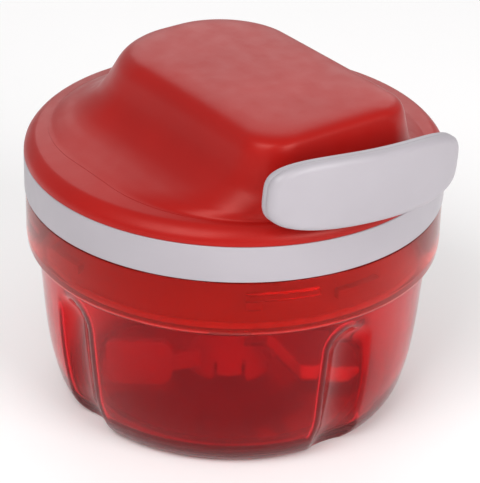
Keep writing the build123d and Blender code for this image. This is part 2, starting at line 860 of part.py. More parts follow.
def cord_lead():
    """Taut cord into the eyelet, from where it clears the winding that turns with the reel."""
    corner = Vector(cord_bend_x, 0, cord_height)
    leaving = helix_point(0.0)
    way = (corner - leaving).normalized()
    clear_radius = wound_radius + cord_radius + lead_gap
    clear_run = math.sqrt(clear_radius**2 - (wound_radius - cord_radius) ** 2)
    start = leaving + way * (clear_run / math.hypot(way.X, way.Y))
    end = Vector(cord_split_x, 0, cord_height)
    last_run = pocket_x - stopper_length - cord_bend_x
    turn = math.acos(way.X)
    bend_radius = 0.45 * last_run / math.tan(0.5 * turn)
    path = FilletPolyline(start, corner, end, radius=bend_radius)
    lead = tube(path)
    print("cord_lead: bend radius", round(bend_radius, 1), "length", round(path.length, 1))
    print("cord_lead: volume share", round(lead.volume / (path.length * math.pi * cord_radius**2), 3))
    return lead


def cord_end():
    """Straight end of the cord, from inside the eyelet to its stopper in the handle."""
    along = Pos(cord_split_x, 0, cord_height) * Rot(0, 90, 0)
    return along * Cylinder(cord_radius, pocket_x - stopper_length - cord_split_x, align=LOW)


# ---------------------------------------------------------------- recoil spring
def deck_bush():
    """Flanged bush that carries the reel's sleeve in the deck."""
    bush_bottom = deck_bottom - bush_stand_out
    bush = disc(bush_outer_radius, bush_bottom, deck_top)
    bush += disc(bush_flange_radius, deck_top, deck_top + bush_flange_thickness)
    return bush - disc(bush_inner_radius, bush_bottom, deck_top + bush_flange_thickness)


def spring_housing():
    """Cup for the recoil spring, with three screwed ears."""
    cup = disc(housing_radius, deck_top, housing_top)
    cup -= disc(housing_radius - housing_wall, deck_top + housing_floor, housing_top)
    for angle in around(housing_screw_count, housing_screw_start):
        place = polar(housing_screw_circle, angle)
        ear = place * disc(screw_boss_radius + ear_margin, deck_top, deck_top + ear_thickness)
        cup += ear - disc(housing_radius - housing_wall, deck_top, housing_top)
        cup -= place * disc(screw_radius + loose_gap, deck_top, housing_top)
    return cup - disc(bush_flange_radius + loose_gap, deck_top, deck_top + housing_floor)


def housing_screws():
    """Three screws that hold the spring housing to the deck."""
    top = deck_top + ear_thickness
    return [polar(housing_screw_circle, angle, top) * Rot(180, 0, 0) * screw(housing_screw_length)
            for angle in around(housing_screw_count, housing_screw_start)]


def spring_cover():
    """Disc that closes the spring housing under the reel."""
    return ring(housing_radius, reel_sleeve_radius + spring_cover_gap, housing_top, spring_cover_top)


def recoil_spring():
    """Flat spiral spring, as half turns whose radius grows from the sleeve to the housing."""
    inner = reel_sleeve_radius + spring_gap
    outer = housing_radius - housing_wall - spring_gap
    growth = (outer - inner - spring_strip) / spring_half_turns
    bottom = deck_top + housing_floor + spring_lift
    inside = spiral_arcs(inner, growth, bottom)
    outside = spiral_arcs(inner + spring_strip, growth, bottom)
    start_cap = Line(inside[0] @ 0, outside[0] @ 0)
    end_cap = Line(inside[-1] @ 1, outside[-1] @ 1)
    face = make_face(inside + outside + [start_cap, end_cap])
    return extrude(face, amount=spring_height, dir=(0, 0, 1))


def spiral_arcs(first_radius, growth, height):
    """Half circles that join end to end, each one wider than the last."""
    arcs = []
    x = first_radius
    side = 1
    for index in range(spring_half_turns):
        radius = first_radius + (index + 0.5) * growth
        end = x - side * 2.0 * radius
        middle = (0.5 * (x + end), side * radius, height)
        arcs.append(ThreePointArc((x, 0, height), middle, (end, 0, height)))
        x = end
        side = -side
    return arcs


# ---------------------------------------------------------------- one-way clutch and drive
def pawl_carrier():
    """Disc on the reel's spigot that carries the two pawls."""
    return ring(carrier_radius, reel_spigot_radius + seat_gap, carrier_bottom, carrier_top)


def pawl_pins():
    """Two pins under the carrier on which the pawls turn."""
    pin = disc(pawl_pin_radius, pawl_bottom - pawl_pin_stand_out, carrier_bottom)
    return [polar(pawl_pivot_radius, angle) * pin for angle in around(2)]


def pawl(angle):
    """Pawl whose tip rests against a tooth of the drive cup."""
    reach = Vector(
        pawl_reach_radius * math.cos(math.radians(pawl_reach_angle)) - pawl_pivot_radius,
        pawl_reach_radius * math.sin(math.radians(pawl_reach_angle)),
        0,
    )
    along = reach.normalized()
    across = Vector(-along.Y, along.X, 0)
    half_eye = 0.75 * pawl_eye_radius
    corners = [
        across * half_eye,
        across * -half_eye,
        reach - along * pawl_tip_back,
        reach - along * 2.0 * pawl_tip_back + across * pawl_tip_width,
    ]
    arm = extrude(make_face(Polyline(*corners, close=True)), amount=pawl_thickness, dir=(0, 0, 1))
    body = arm + disc(pawl_eye_radius, 0, pawl_thickness)
    body -= disc(pawl_pin_radius + running_gap, 0, pawl_thickness)
    return Rot(0, 0, angle) * Pos(pawl_pivot_radius, 0, pawl_bottom) * body


def ratchet_outline():
    """Inner outline of the drive cup: a steep face and a long ramp for each tooth."""
    points = []
    lead = pawl_reach_angle + ratchet_lead
    for angle in around(ratchet_teeth, lead):
        for radius, lean in ((ratchet_root_radius, -1), (ratchet_crest_radius, 1)):
            direction = math.radians(angle + lean * ratchet_face_lean)
            points.append((radius * math.cos(direction), radius * math.sin(direction), 0))
    return make_face(Polyline(*points, close=True))


def drive_cup():
    """Toothed cup over the pawls, with a shaft and a dog socket for the blade unit."""
    cup = disc(cup_radius, cup_floor_bottom, cup_top)
    cup += disc(drive_shaft_radius, drive_shaft_bottom, cup_floor_bottom)
    teeth = Pos(0, 0, cup_floor_top) * extrude(ratchet_outline(), amount=cup_top, dir=(0, 0, 1))
    cup -= teeth
    cup -= disc(socket_radius, drive_shaft_bottom, drive_shaft_bottom + socket_depth)
    for side in (0, 180):
        length = socket_radius - dog_inner_radius + 0.5 * socket_wall
        dog = Box(length, dog_thickness, socket_depth, align=LOW)
        cup += Rot(0, 0, side) * Pos(dog_inner_radius + 0.5 * length, 0, drive_shaft_bottom) * dog
    return cup


# ---------------------------------------------------------------- handle
def handle_outline():
    """Upright outline of the handle's plate, as a superellipse."""
    points = []
    count = 40
    power = handle_outline_power
    for index in range(count):
        angle = 2.0 * math.pi * (index + 0.5) / count
        across = math.cos(angle)
        up = math.sin(angle)
        reach = (abs(across) ** power + abs(up) ** power) ** (-1.0 / power)
        height = cord_height + handle_half_height * reach * up
        points.append((0, handle_half_length * reach * across, height))
    return make_face(Spline(*points, periodic=True))


def handle_layer(front_depth, back_depth):
    """Layer of the curved plate between two depths behind its front face."""
    centre = Pos(handle_front_x - handle_curve_radius, 0, cord_height - 2.0 * handle_half_height)
    height = 4.0 * handle_half_height
    layer = Cylinder(handle_curve_radius - front_depth, height, align=LOW)
    layer -= Cylinder(handle_curve_radius - back_depth, height, align=LOW)
    block = Pos(0.5 * handle_front_x, 0, 0) * extrude(handle_outline(), amount=handle_front_x, dir=(1, 0, 0))
    return (centre * layer) & block


def rolled(shape):
    """Turn a piece of the handle about the cord, as it was let go."""
    return Pos(0, 0, cord_height) * Rot(handle_roll, 0, 0) * Pos(0, 0, -cord_height) * shape


def handle_front():
    """Front shell of the handle, with a rounded edge."""
    shell = handle_layer(0.0, handle_front_thickness)
    front_edges = shell.edges().sort_by(lambda edge: -edge.length)[:2]
    outer = max(front_edges, key=lambda edge: edge.center().X)
    shell = fillet(outer, handle_edge_round)
    return rolled(shell)


def handle_back():
    """Rear shell of the handle, with the neck that the cord runs through."""
    shell = handle_layer(handle_front_thickness, handle_thickness)
    rear_edges = shell.edges().sort_by(lambda edge: -edge.length)[:2]
    inner = min(rear_edges, key=lambda edge: edge.center().X)
    shell = fillet(inner, handle_edge_round)
    neck_start = outlet_pad_x + eyelet_flange_thickness + neck_gap
    neck_length = handle_front_x - 0.75 * handle_thickness - neck_start
    along = Pos(neck_start, 0, cord_height) * Rot(0, 90, 0)
    shell += along * Cylinder(neck_radius, neck_length, align=LOW)
    shell -= along * Cylinder(cord_radius + loose_gap, 2.0 * neck_length, align=LOW)
    pocket = Pos(pocket_x - stopper_length, 0, cord_height) * Rot(0, 90, 0)
    shell -= pocket * Cylinder(stopper_radius + seat_gap, 2.0 * stopper_length, align=LOW)
    return rolled(shell)


def cord_stopper():
    """Crimped bead on the cord's end, held in the handle's pocket."""
    place = Pos(pocket_x - stopper_length, 0, cord_height) * Rot(0, 90, 0)
    bead = Cylinder(stopper_radius, stopper_length - seat_gap, align=LOW)
    return place * fillet(bead.edges().filter_by(GeomType.CIRCLE), stopper_round)


# ---------------------------------------------------------------- output
def node(solids):
    """One exportable shape from a solid or from several separate solids."""
    if isinstance(solids, list):
        return Compound(children=[Solid(piece.solids()[0].wrapped) for piece in solids])
    found = solids.solids()
    return found[0] if len(found) == 1 else Compound(children=list(found))


parts = {
    "bowl": bowl(),
    "foot_ring": foot_ring(),
    "spindle_pin": spindle_pin(),
    "blade_hub": blade_hub(),
    "mixing_paddle": mixing_paddle(),
    "upper_blade": upper_blade(),
    "lower_blade": lower_blade(),
    "seal_ring": seal_ring(),
    "cover_base": cover_base(),
    "top_cover": top_cover(),
    "lower_cover": lower_cover(),
    "lower_cover_screws": lower_cover_screws(),
    "cover_screws": cover_screws(),
    "cord_eyelet": cord_eyelet(),
    "reel_axle": reel_axle(),
    "axle_clip": axle_clip(),
    "thrust_washer": thrust_washer(),
    "cord_reel": cord_reel(),
    "cord_winding": cord_winding(),
    "cord_lead": cord_lead(),
    "cord_end": cord_end(),
    "deck_bush": deck_bush(),
    "spring_housing": spring_housing(),
    "housing_screws": housing_screws(),
    "spring_cover": spring_cover(),
    "recoil_spring": recoil_spring(),
    "pawl_carrier": pawl_carrier(),
    "pawl_pins": pawl_pins(),
    "pawl_a": pawl(0.0),
    "pawl_b": pawl(180.0),
    "drive_cup": drive_cup(),
    "handle_front": handle_front(),
    "handle_back": handle_back(),
    "cord_stopper": cord_stopper(),
}

os.makedirs("parts", exist_ok=True)
for name, shape in parts.items():
    export_step(node(shape), f"parts/{name}.step")
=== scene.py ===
"""Looks of a pull-cord food chopper: tinted bowl, red domed cover, white band and handle.

Lengths are in millimetres until a mesh is made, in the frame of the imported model: +Z up,
the origin in the middle of the bowl's resting face, the cord pulled along +X.
"""

from __future__ import annotations

import logging
import math
from dataclasses import dataclass
from enum import Enum
from typing import Mapping, Sequence

import bmesh
import bpy
import numpy as np
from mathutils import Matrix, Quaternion, Vector

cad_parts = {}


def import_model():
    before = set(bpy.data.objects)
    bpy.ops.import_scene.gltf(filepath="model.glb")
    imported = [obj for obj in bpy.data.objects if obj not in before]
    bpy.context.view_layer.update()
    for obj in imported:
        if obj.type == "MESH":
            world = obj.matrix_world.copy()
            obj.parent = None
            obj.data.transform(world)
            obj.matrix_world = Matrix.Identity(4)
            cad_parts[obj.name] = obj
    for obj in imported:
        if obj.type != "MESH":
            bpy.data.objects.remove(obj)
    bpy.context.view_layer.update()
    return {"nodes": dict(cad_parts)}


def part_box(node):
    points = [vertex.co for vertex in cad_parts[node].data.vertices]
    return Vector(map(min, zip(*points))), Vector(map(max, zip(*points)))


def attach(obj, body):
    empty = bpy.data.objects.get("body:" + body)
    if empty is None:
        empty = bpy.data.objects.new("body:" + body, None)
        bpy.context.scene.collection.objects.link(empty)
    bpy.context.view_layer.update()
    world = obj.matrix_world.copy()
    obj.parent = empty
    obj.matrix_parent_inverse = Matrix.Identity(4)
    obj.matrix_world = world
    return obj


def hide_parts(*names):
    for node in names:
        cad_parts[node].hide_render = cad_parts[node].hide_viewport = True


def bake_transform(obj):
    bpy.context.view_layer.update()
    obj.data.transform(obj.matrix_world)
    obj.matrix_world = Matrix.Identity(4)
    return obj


MM = 0.001
TAU = 2.0 * math.pi
QUARTERS = (0.0, 90.0, 180.0, 270.0)
BAR_ROWS = 14
MERGE_M = 2e-7
SLIVER_M = 1e-8
NEARLY_0 = 1e-9
LOG = logging.getLogger("chopper")

Material = bpy.types.Material
Tree = bpy.types.NodeTree
Socket = bpy.types.NodeSocket


class Body(Enum):
    """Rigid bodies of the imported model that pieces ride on."""

    BOWL = "bowl"
    COVER = "cover"
    HANDLE = "handle"
    SEAL = "seal"


class Slot(Enum):
    """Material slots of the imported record."""

    TINTED_BOWL = "tinted_bowl"
    COVER_PLASTIC = "cover_plastic"
    WHITE_PLASTIC = "white_plastic"
    SEAL_RUBBER = "seal_rubber"
    FOOT_RUBBER = "foot_rubber"
    CORD_FIBRE = "cord_fibre"


# ---------------------------------------------------------------- mesh helpers
def catmull_rom(points: Sequence[Sequence[float]], per_span: int) -> np.ndarray:
    """Smooth curve through points of any dimension.

    Each span from P1 to P2 is the cubic 0.5 (2 P1 + (P2 - P0) t + (2 P0 - 5 P1 + 4 P2 - P3) t^2
    + (3 P1 - P0 - 3 P2 + P3) t^3), and the end points are mirrored once to close the ends.

    Args:
        points: the points, in order.
        per_span: how many steps each span gets.

    Returns:
        Array of points along the curve, with both ends.
    """
    knots = np.asarray(points, float)
    knots = np.vstack([2 * knots[0] - knots[1], knots, 2 * knots[-1] - knots[-2]])
    t = np.linspace(0.0, 1.0, per_span, endpoint=False)[None, :, None]
    p0, p1, p2, p3 = (knots[i : len(knots) - 3 + i, None, :] for i in range(4))
    linear_part = (p2 - p0) * t
    square_part = (2 * p0 - 5 * p1 + 4 * p2 - p3) * t**2
    cubic_part = (3 * p1 - p0 - 3 * p2 + p3) * t**3
    curve = 0.5 * (2 * p1 + linear_part + square_part + cubic_part)
    return np.vstack([curve.reshape(-1, knots.shape[1]), knots[-2]])


def rounded_path(corners: Sequence[Sequence[float]], steps: int = 6) -> np.ndarray:
    """Straight runs joined by rounded corners.

    A corner P with radius r becomes the parabola (1-s)^2 A + 2 (1-s) s P + s^2 B, where A and B lie
    r tan(turn / 2) before and after P.

    Args:
        corners: (x, z, radius) of each corner.
        steps: how many steps each rounded corner gets.

    Returns:
        Array of (x, z).
    """
    flat = np.asarray(corners, float)
    out = [flat[0, :2]]
    s = np.linspace(0.0, 1.0, steps + 1)[:, None]
    for index in range(1, len(flat) - 1):
        before, here, after = flat[index - 1 : index + 2, :2]
        radius = flat[index, 2]
        arrive = (here - before) / np.linalg.norm(here - before)
        leave = (after - here) / np.linalg.norm(after - here)
        turn = math.acos(float(np.clip(arrive @ leave, -1.0, 1.0)))
        if radius <= 0.0 or turn < 1e-3:
            out.append(here)
            continue
        reach = radius * math.tan(0.5 * turn)
        start, end = here - arrive * reach, here + leave * reach
        out.extend((1 - s) ** 2 * start + 2 * (1 - s) * s * here + s**2 * end)
    out.append(flat[-1, :2])
    return np.array(out)


def revolved(profile: np.ndarray, segments: int) -> np.ndarray:
    """Rings of a profile turned about Z: P = (r cos a, r sin a, z).

    Args:
        profile: array of (r, z).
        segments: columns round the axis.

    Returns:
        Array of rings, (rows, segments, 3).
    """
    angle = np.arange(segments) * TAU / segments
    radius, height = profile[:, :1], profile[:, 1:2]
    flat = [radius * np.cos(angle), radius * np.sin(angle), height + 0.0 * angle]
    return np.stack(flat, axis=-1)


def capped(rings: np.ndarray) -> np.ndarray:
    """Adds the middle of the first and of the last ring as rows, so that both ends close.

    Args:
        rings: (rows, columns, 3) points.

    Returns:
        The rings, with one more row at either end.
    """
    first = np.broadcast_to(rings[0].mean(0), rings[0].shape)
    last = np.broadcast_to(rings[-1].mean(0), rings[-1].shape)
    return np.concatenate([first[None], rings, last[None]])


def swept_box(sections: np.ndarray, round_share: float = 0.2, columns: int = 28) -> np.ndarray:
    """Rounded rectangle carried along sections of four corners each.

    Around a section the point is the superellipse (|u|^n + |v|^n = 1, n = 2 / round_share) blended
    between the four corners: P = sum of (1 +- u)(1 +- v) / 4 times each corner.

    Args:
        sections: (rows, 4, 3) corners in order round each section.
        round_share: how round the edges are, from 0, sharp, to 1, an ellipse.
        columns: points round each section.

    Returns:
        Rings, capped at both ends.
    """
    angle = (np.arange(columns) + 0.5) * TAU / columns
    u = np.sign(np.cos(angle)) * np.abs(np.cos(angle)) ** round_share
    v = np.sign(np.sin(angle)) * np.abs(np.sin(angle)) ** round_share
    left, right, low, high = 1 - u, 1 + u, 1 - v, 1 + v
    weights = np.stack([left * low, right * low, right * high, left * high]) / 4
    return capped(np.einsum("cm,rcx->rmx", weights, sections))


def grid_faces(rows: int, columns: int, wrap_rows: bool = False) -> np.ndarray:
    """Quads of a grid whose columns close on themselves.

    Args:
        rows: rings of the grid.
        columns: points of each ring.
        wrap_rows: whether the last ring joins the first.

    Returns:
        Array of four vertex numbers a face.
    """
    row = np.arange(rows if wrap_rows else rows - 1)[:, None]
    column = np.arange(columns)[None, :]
    following = (row + 1) % rows
    beside = (column + 1) % columns
    corners = [row * columns + column, row * columns + beside,
               following * columns + beside, following * columns + column]
    return np.stack(corners, axis=-1).reshape(-1, 4)


@dataclass(frozen=True)
class Shell:
    """A piece's mesh before it is made: rings of points, and how they close."""

    rings: np.ndarray
    wrap_rows: bool = False

    def faces(self) -> np.ndarray:
        """Quads of the rings."""
        return grid_faces(self.rings.shape[0], self.rings.shape[1], self.wrap_rows)


def bent_bar(
    middle: float, reach: tuple[float, float], radii: tuple[float, float], levels: tuple[float, float]
) -> Shell:
    """Bar with rounded edges, bent round the axis.

    Its corners are (r cos a, r sin a, z) at both radii and both levels, for angles a along its reach.

    Args:
        middle: angle that the reach is counted from, in degrees.
        reach: first and last angle from there, in degrees.
        radii: inner and outer radius.
        levels: bottom and top.

    Returns:
        The bar's surface.
    """
    angle = np.radians(middle + np.linspace(*reach, BAR_ROWS))
    (inner, outer), (low, high) = radii, levels
    corners = [
        np.stack([radius * np.cos(angle), radius * np.sin(angle), np.full_like(angle, height)], axis=-1)
        for radius, height in ((inner, low), (outer, low), (outer, high), (inner, high))]
    return Shell(swept_box(np.stack(corners, axis=1)))


def make_piece(
    name: str,
    shells: Sequence[Shell],
    material: Material,
    body: Body | None,
    stands_for: Sequence[str] = (),
    crease: float = 38.0,
    open_side: bool = False,
) -> bpy.types.Object:
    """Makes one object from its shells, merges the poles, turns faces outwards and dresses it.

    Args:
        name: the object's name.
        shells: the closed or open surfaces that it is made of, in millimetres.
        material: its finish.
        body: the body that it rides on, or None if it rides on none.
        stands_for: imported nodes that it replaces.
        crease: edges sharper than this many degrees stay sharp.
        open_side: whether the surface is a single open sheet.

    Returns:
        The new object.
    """
    points, faces, offset = [], [], 0
    for shell in shells:
        flat = shell.rings.reshape(-1, 3)
        points.append(flat * MM)
        faces.append(shell.faces() + offset)
        offset += len(flat)
    mesh = bpy.data.meshes.new(name)
    mesh.from_pydata(np.vstack(points).tolist(), [], np.vstack(faces).tolist())
    work = bmesh.new()
    work.from_mesh(mesh)
    bmesh.ops.remove_doubles(work, verts=work.verts, dist=MERGE_M)
    bmesh.ops.dissolve_degenerate(work, edges=work.edges, dist=SLIVER_M)
    bmesh.ops.recalc_face_normals(work, faces=work.faces)
    highest = max(work.faces, key=lambda face: face.calc_center_median().z)
    if open_side and highest.normal.z < 0:
        bmesh.ops.reverse_faces(work, faces=work.faces)
    work.to_mesh(mesh)
    work.free()
    mesh.shade_smooth()
    mesh.set_sharp_from_angle(angle=math.radians(crease))
    piece = bpy.data.objects.new(name, mesh)
    bpy.context.scene.collection.objects.link(piece)
    mesh.materials.append(material)
    if body is not None:
        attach(piece, body.value)
    if stands_for:
        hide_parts(*stands_for)
    LOG.info("%s: %d faces", name, len(mesh.polygons))
    return piece


# ---------------------------------------------------------------- finishes
# A noise texture's values lie mostly between these two.
NOISE_LOW, NOISE_HIGH = 0.3, 0.7
# A Mix node's colour sockets go by number, because their names repeat.
MIX_SHARE, MIX_LOW, MIX_HIGH, MIX_RESULT = 0, 6, 7, 2


def linear(code: str) -> tuple[float, float, float, float]:
    """Linear colour of an sRGB hex code such as #A01E1A.

    A channel c becomes c / 12.92 up to 0.04045, and ((c + 0.055) / 1.055)^2.4 above it.

    Args:
        code: the hex code.

    Returns:
        Red, green, blue and an alpha of 1.
    """
    channels = [int(code[i : i + 2], 16) / 255.0 for i in (1, 3, 5)]
    red, green, blue = [c / 12.92 if c <= 0.04045 else ((c + 0.055) / 1.055) ** 2.4 for c in channels]
    return red, green, blue, 1.0


def add_node(
    tree: Tree,
    kind: str,
    settings: Mapping[str, object] | None = None,
    inputs: Mapping[str | int, object] | None = None,
) -> bpy.types.Node:
    """Adds a shader node, sets its properties, and sets or links its inputs.

    Args:
        tree: the material's node tree.
        kind: the node's type.
        settings: properties of the node.
        inputs: a value, or a socket to link from, for each named input.

    Returns:
        The new node.
    """
    node = tree.nodes.new(kind)
    for name, value in (settings or {}).items():
        setattr(node, name, value)
    for socket, value in (inputs or {}).items():
        if isinstance(value, Socket):
            tree.links.new(value, node.inputs[socket])
        else:
            node.inputs[socket].default_value = value
    return node


def pattern_scale(size_mm: float) -> float:
    """Texture scale at which one feature of a pattern in object metres is as wide as size_mm."""
    return 1.0 / (size_mm * MM)


def varied(tree: Tree, where: Socket, size_mm: float, low: float, high: float) -> Socket:
    """Number that drifts between two values over a surface.

    Args:
        tree: the material's node tree.
        where: coordinates of the pattern.
        size_mm: width of one patch.
        low: least value.
        high: greatest value.

    Returns:
        The socket that gives the number.
    """
    noise = add_node(tree, "ShaderNodeTexNoise", inputs={
        "Vector": where, "Scale": pattern_scale(size_mm), "Detail": 2.0})
    spread = add_node(tree, "ShaderNodeMapRange", inputs={
        "Value": noise.outputs["Fac"], "From Min": NOISE_LOW, "From Max": NOISE_HIGH,
        "To Min": low, "To Max": high})
    return spread.outputs["Result"]


@dataclass(frozen=True)
class Finish:
    """A material whose colour goes from one hex code to another along a pattern.

    Each kind of finish gives the pattern, and the rest of its surface, in looks().
    """

    name: str
    low_colour: str
    high_colour: str

    def looks(self, tree: Tree, where: Socket) -> tuple[Socket, dict[str, object]]:
        """Pattern of the colour, and the shader's other inputs.

        Args:
            tree: the material's node tree.
            where: object coordinates, in metres.

        Returns:
            The pattern, from 0 to 1, and the inputs by name.
        """
        raise NotImplementedError

    def inside(self, tree: Tree) -> dict[str, Socket]:
        """What the light meets inside the piece: nothing, unless a finish says otherwise.

        Args:
            tree: the material's node tree.

        Returns:
            The output's other sockets by name.
        """
        return {}

    def make(self) -> Material:
        """Builds the material.

        Returns:
            The new material.
        """
        material = bpy.data.materials.new(self.name)
        material.use_nodes = True
        tree = material.node_tree
        tree.nodes.clear()
        where = add_node(tree, "ShaderNodeTexCoord").outputs["Object"]
        pattern, inputs = self.looks(tree, where)
        colour = add_node(tree, "ShaderNodeMix", {"data_type": "RGBA"}, {
            MIX_SHARE: pattern, MIX_LOW: linear(self.low_colour), MIX_HIGH: linear(self.high_colour)})
        shader = add_node(tree, "ShaderNodeBsdfPrincipled", inputs={
            "Base Color": colour.outputs[MIX_RESULT], **inputs})
        add_node(tree, "ShaderNodeOutputMaterial", inputs={
            "Surface": shader.outputs["BSDF"], **self.inside(tree)})
        return material


@dataclass(frozen=True)
class MouldedAbs(Finish):
    """ABS from a spark-eroded mould: satin, with a fine grain that glints in a highlight."""

    roughness: float = 0.36
    smoother: float = 0.03
    rougher: float = 0.05
    drift_mm: float = 30.0
    wear_mm: float = 6.0
    grain_mm: float = 0.55  # drawn about twice as coarse as the real grain, so that it shows
    grain_depth_mm: float = 0.012
    specular: float = 0.5
    gloss: str = "#FFFFFF"

    def looks(self, tree: Tree, where: Socket) -> tuple[Socket, dict[str, object]]:
        """Colour that drifts from one flow of the melt to the next, worn patches and grain.

        Args:
            tree: the material's node tree.
            where: object coordinates, in metres.

        Returns:
            The pattern, from 0 to 1, and the inputs by name.
        """
        drift = varied(tree, where, self.drift_mm, 0.0, 1.0)
        least, most = self.roughness - self.smoother, self.roughness + self.rougher
        rough = varied(tree, where, self.wear_mm, least, most)
        grain = add_node(tree, "ShaderNodeTexNoise", inputs={
            "Vector": where, "Scale": pattern_scale(self.grain_mm), "Detail": 3.0, "Roughness": 0.65})
        bump = add_node(tree, "ShaderNodeBump", inputs={
            "Strength": 1.0, "Distance": self.grain_depth_mm * MM, "Height": grain.outputs["Fac"]})
        return drift, {
            "Roughness": rough, "IOR": 1.54, "Specular IOR Level": self.specular,
            "Specular Tint": linear(self.gloss), "Normal": bump.outputs["Normal"]}


@dataclass(frozen=True)
class TintedResin(Finish):
    """Clear styrene resin dyed red: polished, faintly wavy, darker the more of it one looks through.

    The low colour is the bowl's and the high one the collar's: a lighter red that is painted light,
    for the light that the white skirt behind the collar sends through the wall. The dye takes more of
    the light on a long way along the wall, so edges and the foot look darker.
    """

    # heights over which the colour turns to the collar's painted light
    collar_light_from_mm: float = 49.0
    collar_light_to_mm: float = 51.0
    gloss: str = "#FF6A6E"
    depth_colour: tuple[float, float, float, float] = (0.65, 0.08, 0.15, 1.0)
    depth_density: float = 90.0
    clear: float = 0.94
    roughness: float = 0.05
    rougher: float = 0.06
    scuff_mm: float = 3.0
    specular: float = 0.15
    wave_mm: float = 9.0
    wave_depth_mm: float = 0.02

    def looks(self, tree: Tree, where: Socket) -> tuple[Socket, dict[str, object]]:
        """Painted light that turns the colour to the collar's lighter red at its foot, scuffed patches
        and the mould's long waves.

        Args:
            tree: the material's node tree.
            where: object coordinates, in metres.

        Returns:
            The pattern, from 0 to 1, and the inputs by name.
        """
        scuffs = varied(tree, where, self.scuff_mm, self.roughness, self.roughness + self.rougher)
        height = add_node(tree, "ShaderNodeSeparateXYZ", inputs={"Vector": where})
        # Painted light: from here up the colour turns to the collar's lighter red, for the white skirt
        # behind it.
        share = add_node(tree, "ShaderNodeMapRange", inputs={
            "Value": height.outputs["Z"], "From Min": self.collar_light_from_mm * MM,
            "From Max": self.collar_light_to_mm * MM})
        wave = add_node(tree, "ShaderNodeTexNoise", inputs={
            "Vector": where, "Scale": pattern_scale(self.wave_mm), "Detail": 1.0})
        bump = add_node(tree, "ShaderNodeBump", inputs={
            "Strength": 1.0, "Distance": self.wave_depth_mm * MM, "Height": wave.outputs["Fac"]})
        return share.outputs["Result"], {
            "Roughness": scuffs, "IOR": 1.55, "Specular IOR Level": self.specular,
            "Specular Tint": linear(self.gloss), "Transmission Weight": self.clear,
            "Normal": bump.outputs["Normal"]}

    def inside(self, tree: Tree) -> dict[str, Socket]:
        """The dye in the wall.

        Args:
            tree: the material's node tree.

        Returns:
            The socket for the inside.
        """
        depth = add_node(tree, "ShaderNodeVolumeAbsorption", inputs={
            "Color": self.depth_colour, "Density": self.depth_density})
        return {"Volume": depth.outputs["Volume"]}


@dataclass(frozen=True)
class SoftPlastic(Finish):
    """Acetal, silicone or rubber as moulded: dull, slightly mottled."""

    roughness: float
    ior: float
    smoother: float = 0.05
    rougher: float = 0.08
    wear_mm: float = 1.5
    mottle_mm: float = 4.0
    skin_mm: float = 0.8
    skin_depth_mm: float = 0.01

    def looks(self, tree: Tree, where: Socket) -> tuple[Socket, dict[str, object]]:
        """Mottled colour, dull patches and a fine skin.

        Args:
            tree: the material's node tree.
            where: object coordinates, in metres.

        Returns:
            The pattern, from 0 to 1, and the inputs by name.
        """
        mottle = varied(tree, where, self.mottle_mm, 0.0, 1.0)
        least, most = self.roughness - self.smoother, self.roughness + self.rougher
        rough = varied(tree, where, self.wear_mm, least, most)
        skin = add_node(tree, "ShaderNodeTexNoise", inputs={
            "Vector": where, "Scale": pattern_scale(self.skin_mm), "Detail": 2.0})
        bump = add_node(tree, "ShaderNodeBump", inputs={
            "Strength": 1.0, "Distance": self.skin_depth_mm * MM, "Height": skin.outputs["Fac"]})
        return mottle, {"Roughness": rough, "IOR": self.ior, "Normal": bump.outputs["Normal"]}


@dataclass(frozen=True)
class WorkedMetal(Finish):
    """Steel or brass with the fine parallel lines that grinding, drawing or turning leaves."""

    roughness: float
    line_mm: float = 0.35
    line_length_mm: float = 14.0
    line_depth_mm: float = 0.004
    smoother: float = 0.05
    rougher: float = 0.1

    def looks(self, tree: Tree, where: Socket) -> tuple[Socket, dict[str, object]]:
        """Lines that shift the colour, the gloss and the surface together.

        Args:
            tree: the material's node tree.
            where: object coordinates, in metres.

        Returns:
            The pattern, from 0 to 1, and the inputs by name.
        """
        stretch = self.line_mm / self.line_length_mm
        lines = add_node(tree, "ShaderNodeMapping", inputs={
            "Vector": where, "Scale": (1.0, stretch, 1.0)})
        noise = add_node(tree, "ShaderNodeTexNoise", inputs={
            "Vector": lines.outputs["Vector"], "Scale": pattern_scale(self.line_mm), "Detail": 2.0})
        rough = add_node(tree, "ShaderNodeMapRange", inputs={
            "Value": noise.outputs["Fac"], "From Min": NOISE_LOW, "From Max": NOISE_HIGH,
            "To Min": self.roughness - self.smoother, "To Max": self.roughness + self.rougher})
        bump = add_node(tree, "ShaderNodeBump", inputs={
            "Strength": 1.0, "Distance": self.line_depth_mm * MM, "Height": noise.outputs["Fac"]})
        return noise.outputs["Fac"], {
            "Metallic": 1.0, "Roughness": rough.outputs["Result"], "Normal": bump.outputs["Normal"]}


